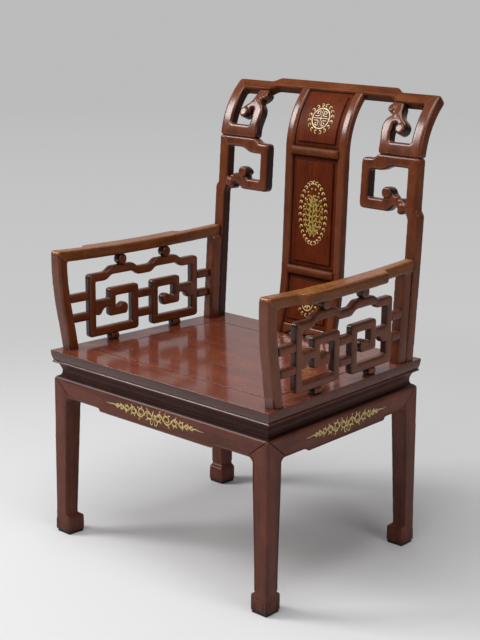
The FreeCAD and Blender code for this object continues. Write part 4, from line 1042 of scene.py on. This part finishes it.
def drawFootScroll(name):
    # an arched border and the square scroll within it, from the corner of the foot inwards
    scroll = newScroll(name)
    addStroke(scroll, footSettings["border"], [footSettings["borderWidth"]] * len(footSettings["border"]))
    addStroke(scroll, footSettings["scroll"], footSettings["scrollWidths"], order=2)
    return flatMesh(scroll, beadSettings["flatness"])


def splay(piece, outward):
    points = pointsOf(piece)
    share = numpy.clip((splaySettings["top"] - points[:, 2]) / splaySettings["height"], 0.0, 1.0)
    return movePoints(piece, points + numpy.outer(share * splaySettings["lean"], numpy.array(outward)))


# half length, height of line and lobe and half width of the lobe, then face, way right and way out
edges = {"front": ((seatPlan["frontHalf"], 324.8, 317.5, 160.0), frontFace, xRight, -yBack),
         "rear": ((seatPlan["rearHalf"], 324.8, 317.5, 160.0), rearFace, -xRight, yBack),
         "right": ((259.8, 323.0, 316.0, 122.0), sideFace, alongSide, -intoSide)}
for label, (shape, origin, right, out) in edges.items():
    trim = [splay(layFlat(drawBead(label + "Bead", *shape), origin, right, out), out)]
    for end in (-1, 1):
        corner = origin + right * (end * shape[0] * mm)
        trim.append(splay(layFlat(drawFootScroll(label + "FootScroll"), corner, right * -end, out), out))
    carving = smooth(joinAll(trim, "carved_edge_" + label))
    dress(carving, makeWood("leg", "z"), "dark_wood")
    if label == "right":
        dress(mirroredCopy(carving, "carved_edge_left"), makeWood("leg", "z"), "dark_wood")
print("edges and feet carved")

# The bead under the seat's rounded edge, run round all four sides
seatBead = {"radius": 1.3, "inset": 3.0, "height": 400.8, "sides": 3, "smoothAngle": 50}
beadLoop = newScroll("seat_frame_bead")
beadLoop.data.bevel_depth = seatBead["radius"] * mm
beadLoop.data.bevel_resolution = seatBead["sides"]
beadLoop.data.twist_mode = "Z_UP"
run = beadLoop.data.splines.new("POLY")
run.points.add(3)
run.use_cyclic_u = True
corners = []
for end, step in (("front", 1), ("rear", -1)):
    halfWidth = step * (seatPlan[end + "Half"] - seatBead["inset"])
    y = seatPlan[end] + step * seatBead["inset"]
    corners += [(halfWidth, y), (-halfWidth, y)]
for knot, (x, y) in zip(run.points, corners):
    knot.co = (x * mm, y * mm, seatBead["height"] * mm, 1.0)
activate(beadLoop)
bpy.ops.object.convert(target="MESH")
dress(smooth(bpy.context.active_object, seatBead["smoothAngle"]), makeWood("leg", "x"), "seat_wood")
print("seat bead run")

studio = {"floorSeen": (0.92, 0.92, 0.925), "floorFelt": (0.66, 0.66, 0.66), "room": (0.045, 0.045, 0.048),
          "sweepLight": (0.36, 0.36, 0.37), "sweepWay": (-0.69, 0.72, 0.05), "sweepRadius": 14.0,
          "glowNear": (0.84, 0.84, 0.84), "glowMid": (0.60, 0.60, 0.603), "glowFar": (0.50, 0.50, 0.505),
          "nearRange": (-0.55, 0.9), "farRange": (0.5, 9.0), "fadeRange": (0.75, 2.2, 0.03, 1.0),
          "airRange": (0.1, 0.8), "floorRough": 0.9, "floorSpec": 0.1}
# place, height that it aims at, width and power of each soft lamp
lamps = {"keySoftbox": ((-3.0, -2.5, 3.1), 0.5, 1.6, 112.0), "sideSoftbox": ((3.3, -0.3, 2.0), 0.4, 1.8, 24.0),
         "topSoftbox": ((0.2, -0.9, 3.4), 0.4, 2.2, 58.0)}


def buildFloor():
    # a round sheet of paper that fades into the backdrop for the eye, and keeps the shadow
    bpy.ops.object.select_all(action="DESELECT")
    bpy.ops.mesh.primitive_circle_add(vertices=128, radius=studio["sweepRadius"], fill_type="NGON",
                                      location=(0.0, 0.0, 0.0))
    floor = bpy.context.active_object
    floor.name = "studioSweep"
    material, tree, shader, place = newMaterial("paperSweep")
    seen = tree.nodes.new("ShaderNodeLightPath").outputs["Is Camera Ray"]
    tree.links.new(mixColour(tree, seen, studio["floorFelt"], studio["floorSeen"]), shader.inputs["Base Color"])
    shader.inputs["Roughness"].default_value = studio["floorRough"]
    shader.inputs["Specular IOR Level"].default_value = studio["floorSpec"]
    length = tree.nodes.new("ShaderNodeVectorMath")
    length.operation = "LENGTH"
    tree.links.new(place, length.inputs[0])
    # for the eye the paper glows brighter towards the camera and dimmer away from it: painted light falloff
    back = dotNode(tree, place, studio["sweepWay"])
    near = mixColour(tree, rangeNode(tree, back, *studio["nearRange"], smooth=True),
                     studio["glowNear"], studio["glowMid"])
    sheet = mixColour(tree, rangeNode(tree, back, *studio["farRange"]), near, studio["glowFar"])
    fade = rangeNode(tree, length.outputs["Value"], *studio["fadeRange"], smooth=True)
    glow = tree.nodes.new("ShaderNodeEmission")
    tree.links.new(sheet, glow.inputs["Color"])
    blend = tree.nodes.new("ShaderNodeMixShader")
    for index, output in enumerate((mathNode(tree, "MULTIPLY", fade, seen), shader.outputs[0], glow.outputs[0])):
        tree.links.new(output, blend.inputs[index])
    tree.links.new(blend.outputs[0], tree.nodes["Material Output"].inputs["Surface"])
    floor.data.materials.append(material)


buildFloor()
for name, (place, aimHeight, size, power) in lamps.items():
    bpy.ops.object.light_add(type="AREA", location=place)
    lamp = bpy.context.active_object
    lamp.name = name
    lamp.data.shape = "SQUARE"
    lamp.data.size = size
    lamp.data.energy = power
    lamp.rotation_euler = (Vector((0.0, 0.0, aimHeight)) - Vector(place)).to_track_quat("-Z", "Y").to_euler()

# light comes back from the sweep behind the chair and hardly from the room before it
world = bpy.data.worlds.new("studioAir")
bpy.context.scene.world = world
world.use_nodes = True
worldTree = world.node_tree
background = worldTree.nodes["Background"]
skyPlace = worldTree.nodes.new("ShaderNodeTexCoord").outputs["Generated"]
nearSweep = rangeNode(worldTree, dotNode(worldTree, skyPlace, studio["sweepWay"]), *studio["airRange"], smooth=True)
air = mixColour(worldTree, nearSweep, studio["room"], studio["sweepLight"])
cameraRay = worldTree.nodes.new("ShaderNodeLightPath").outputs["Is Camera Ray"]
worldTree.links.new(mixColour(worldTree, cameraRay, air, studio["glowFar"]), background.inputs["Color"])
background.inputs["Strength"].default_value = 1.0

lens = {"azimuth": 43.29, "elevation": 14.34, "roll": 0.37, "distance": 3.1304,
        "target": (0.00341, -0.03898, 0.5060), "focal": 81.30, "sensor": 36.0}


def placeCamera():
    azimuth, elevation, roll = (math.radians(lens[label]) for label in ("azimuth", "elevation", "roll"))
    back = Vector((math.sin(azimuth) * math.cos(elevation), -math.cos(azimuth) * math.cos(elevation),
                   math.sin(elevation)))
    right = (-back).cross(zUp).normalized()
    up = right.cross(-back)
    bpy.ops.object.camera_add(location=Vector(lens["target"]) + back * lens["distance"])
    camera = bpy.context.active_object
    camera.name = "studioCamera"
    matrix = camera.matrix_world.to_3x3()
    matrix.col[0] = right * math.cos(roll) + up * math.sin(roll)
    matrix.col[1] = up * math.cos(roll) - right * math.sin(roll)
    matrix.col[2] = back
    camera.rotation_euler = matrix.to_euler()
    camera.data.sensor_fit = "VERTICAL"
    camera.data.sensor_height = lens["sensor"]
    camera.data.lens = lens["focal"]
    bpy.context.scene.camera = camera


placeCamera()
bpy.context.scene.view_settings.view_transform = "Standard"
print("studio ready")

bpy.context.view_layer.update()
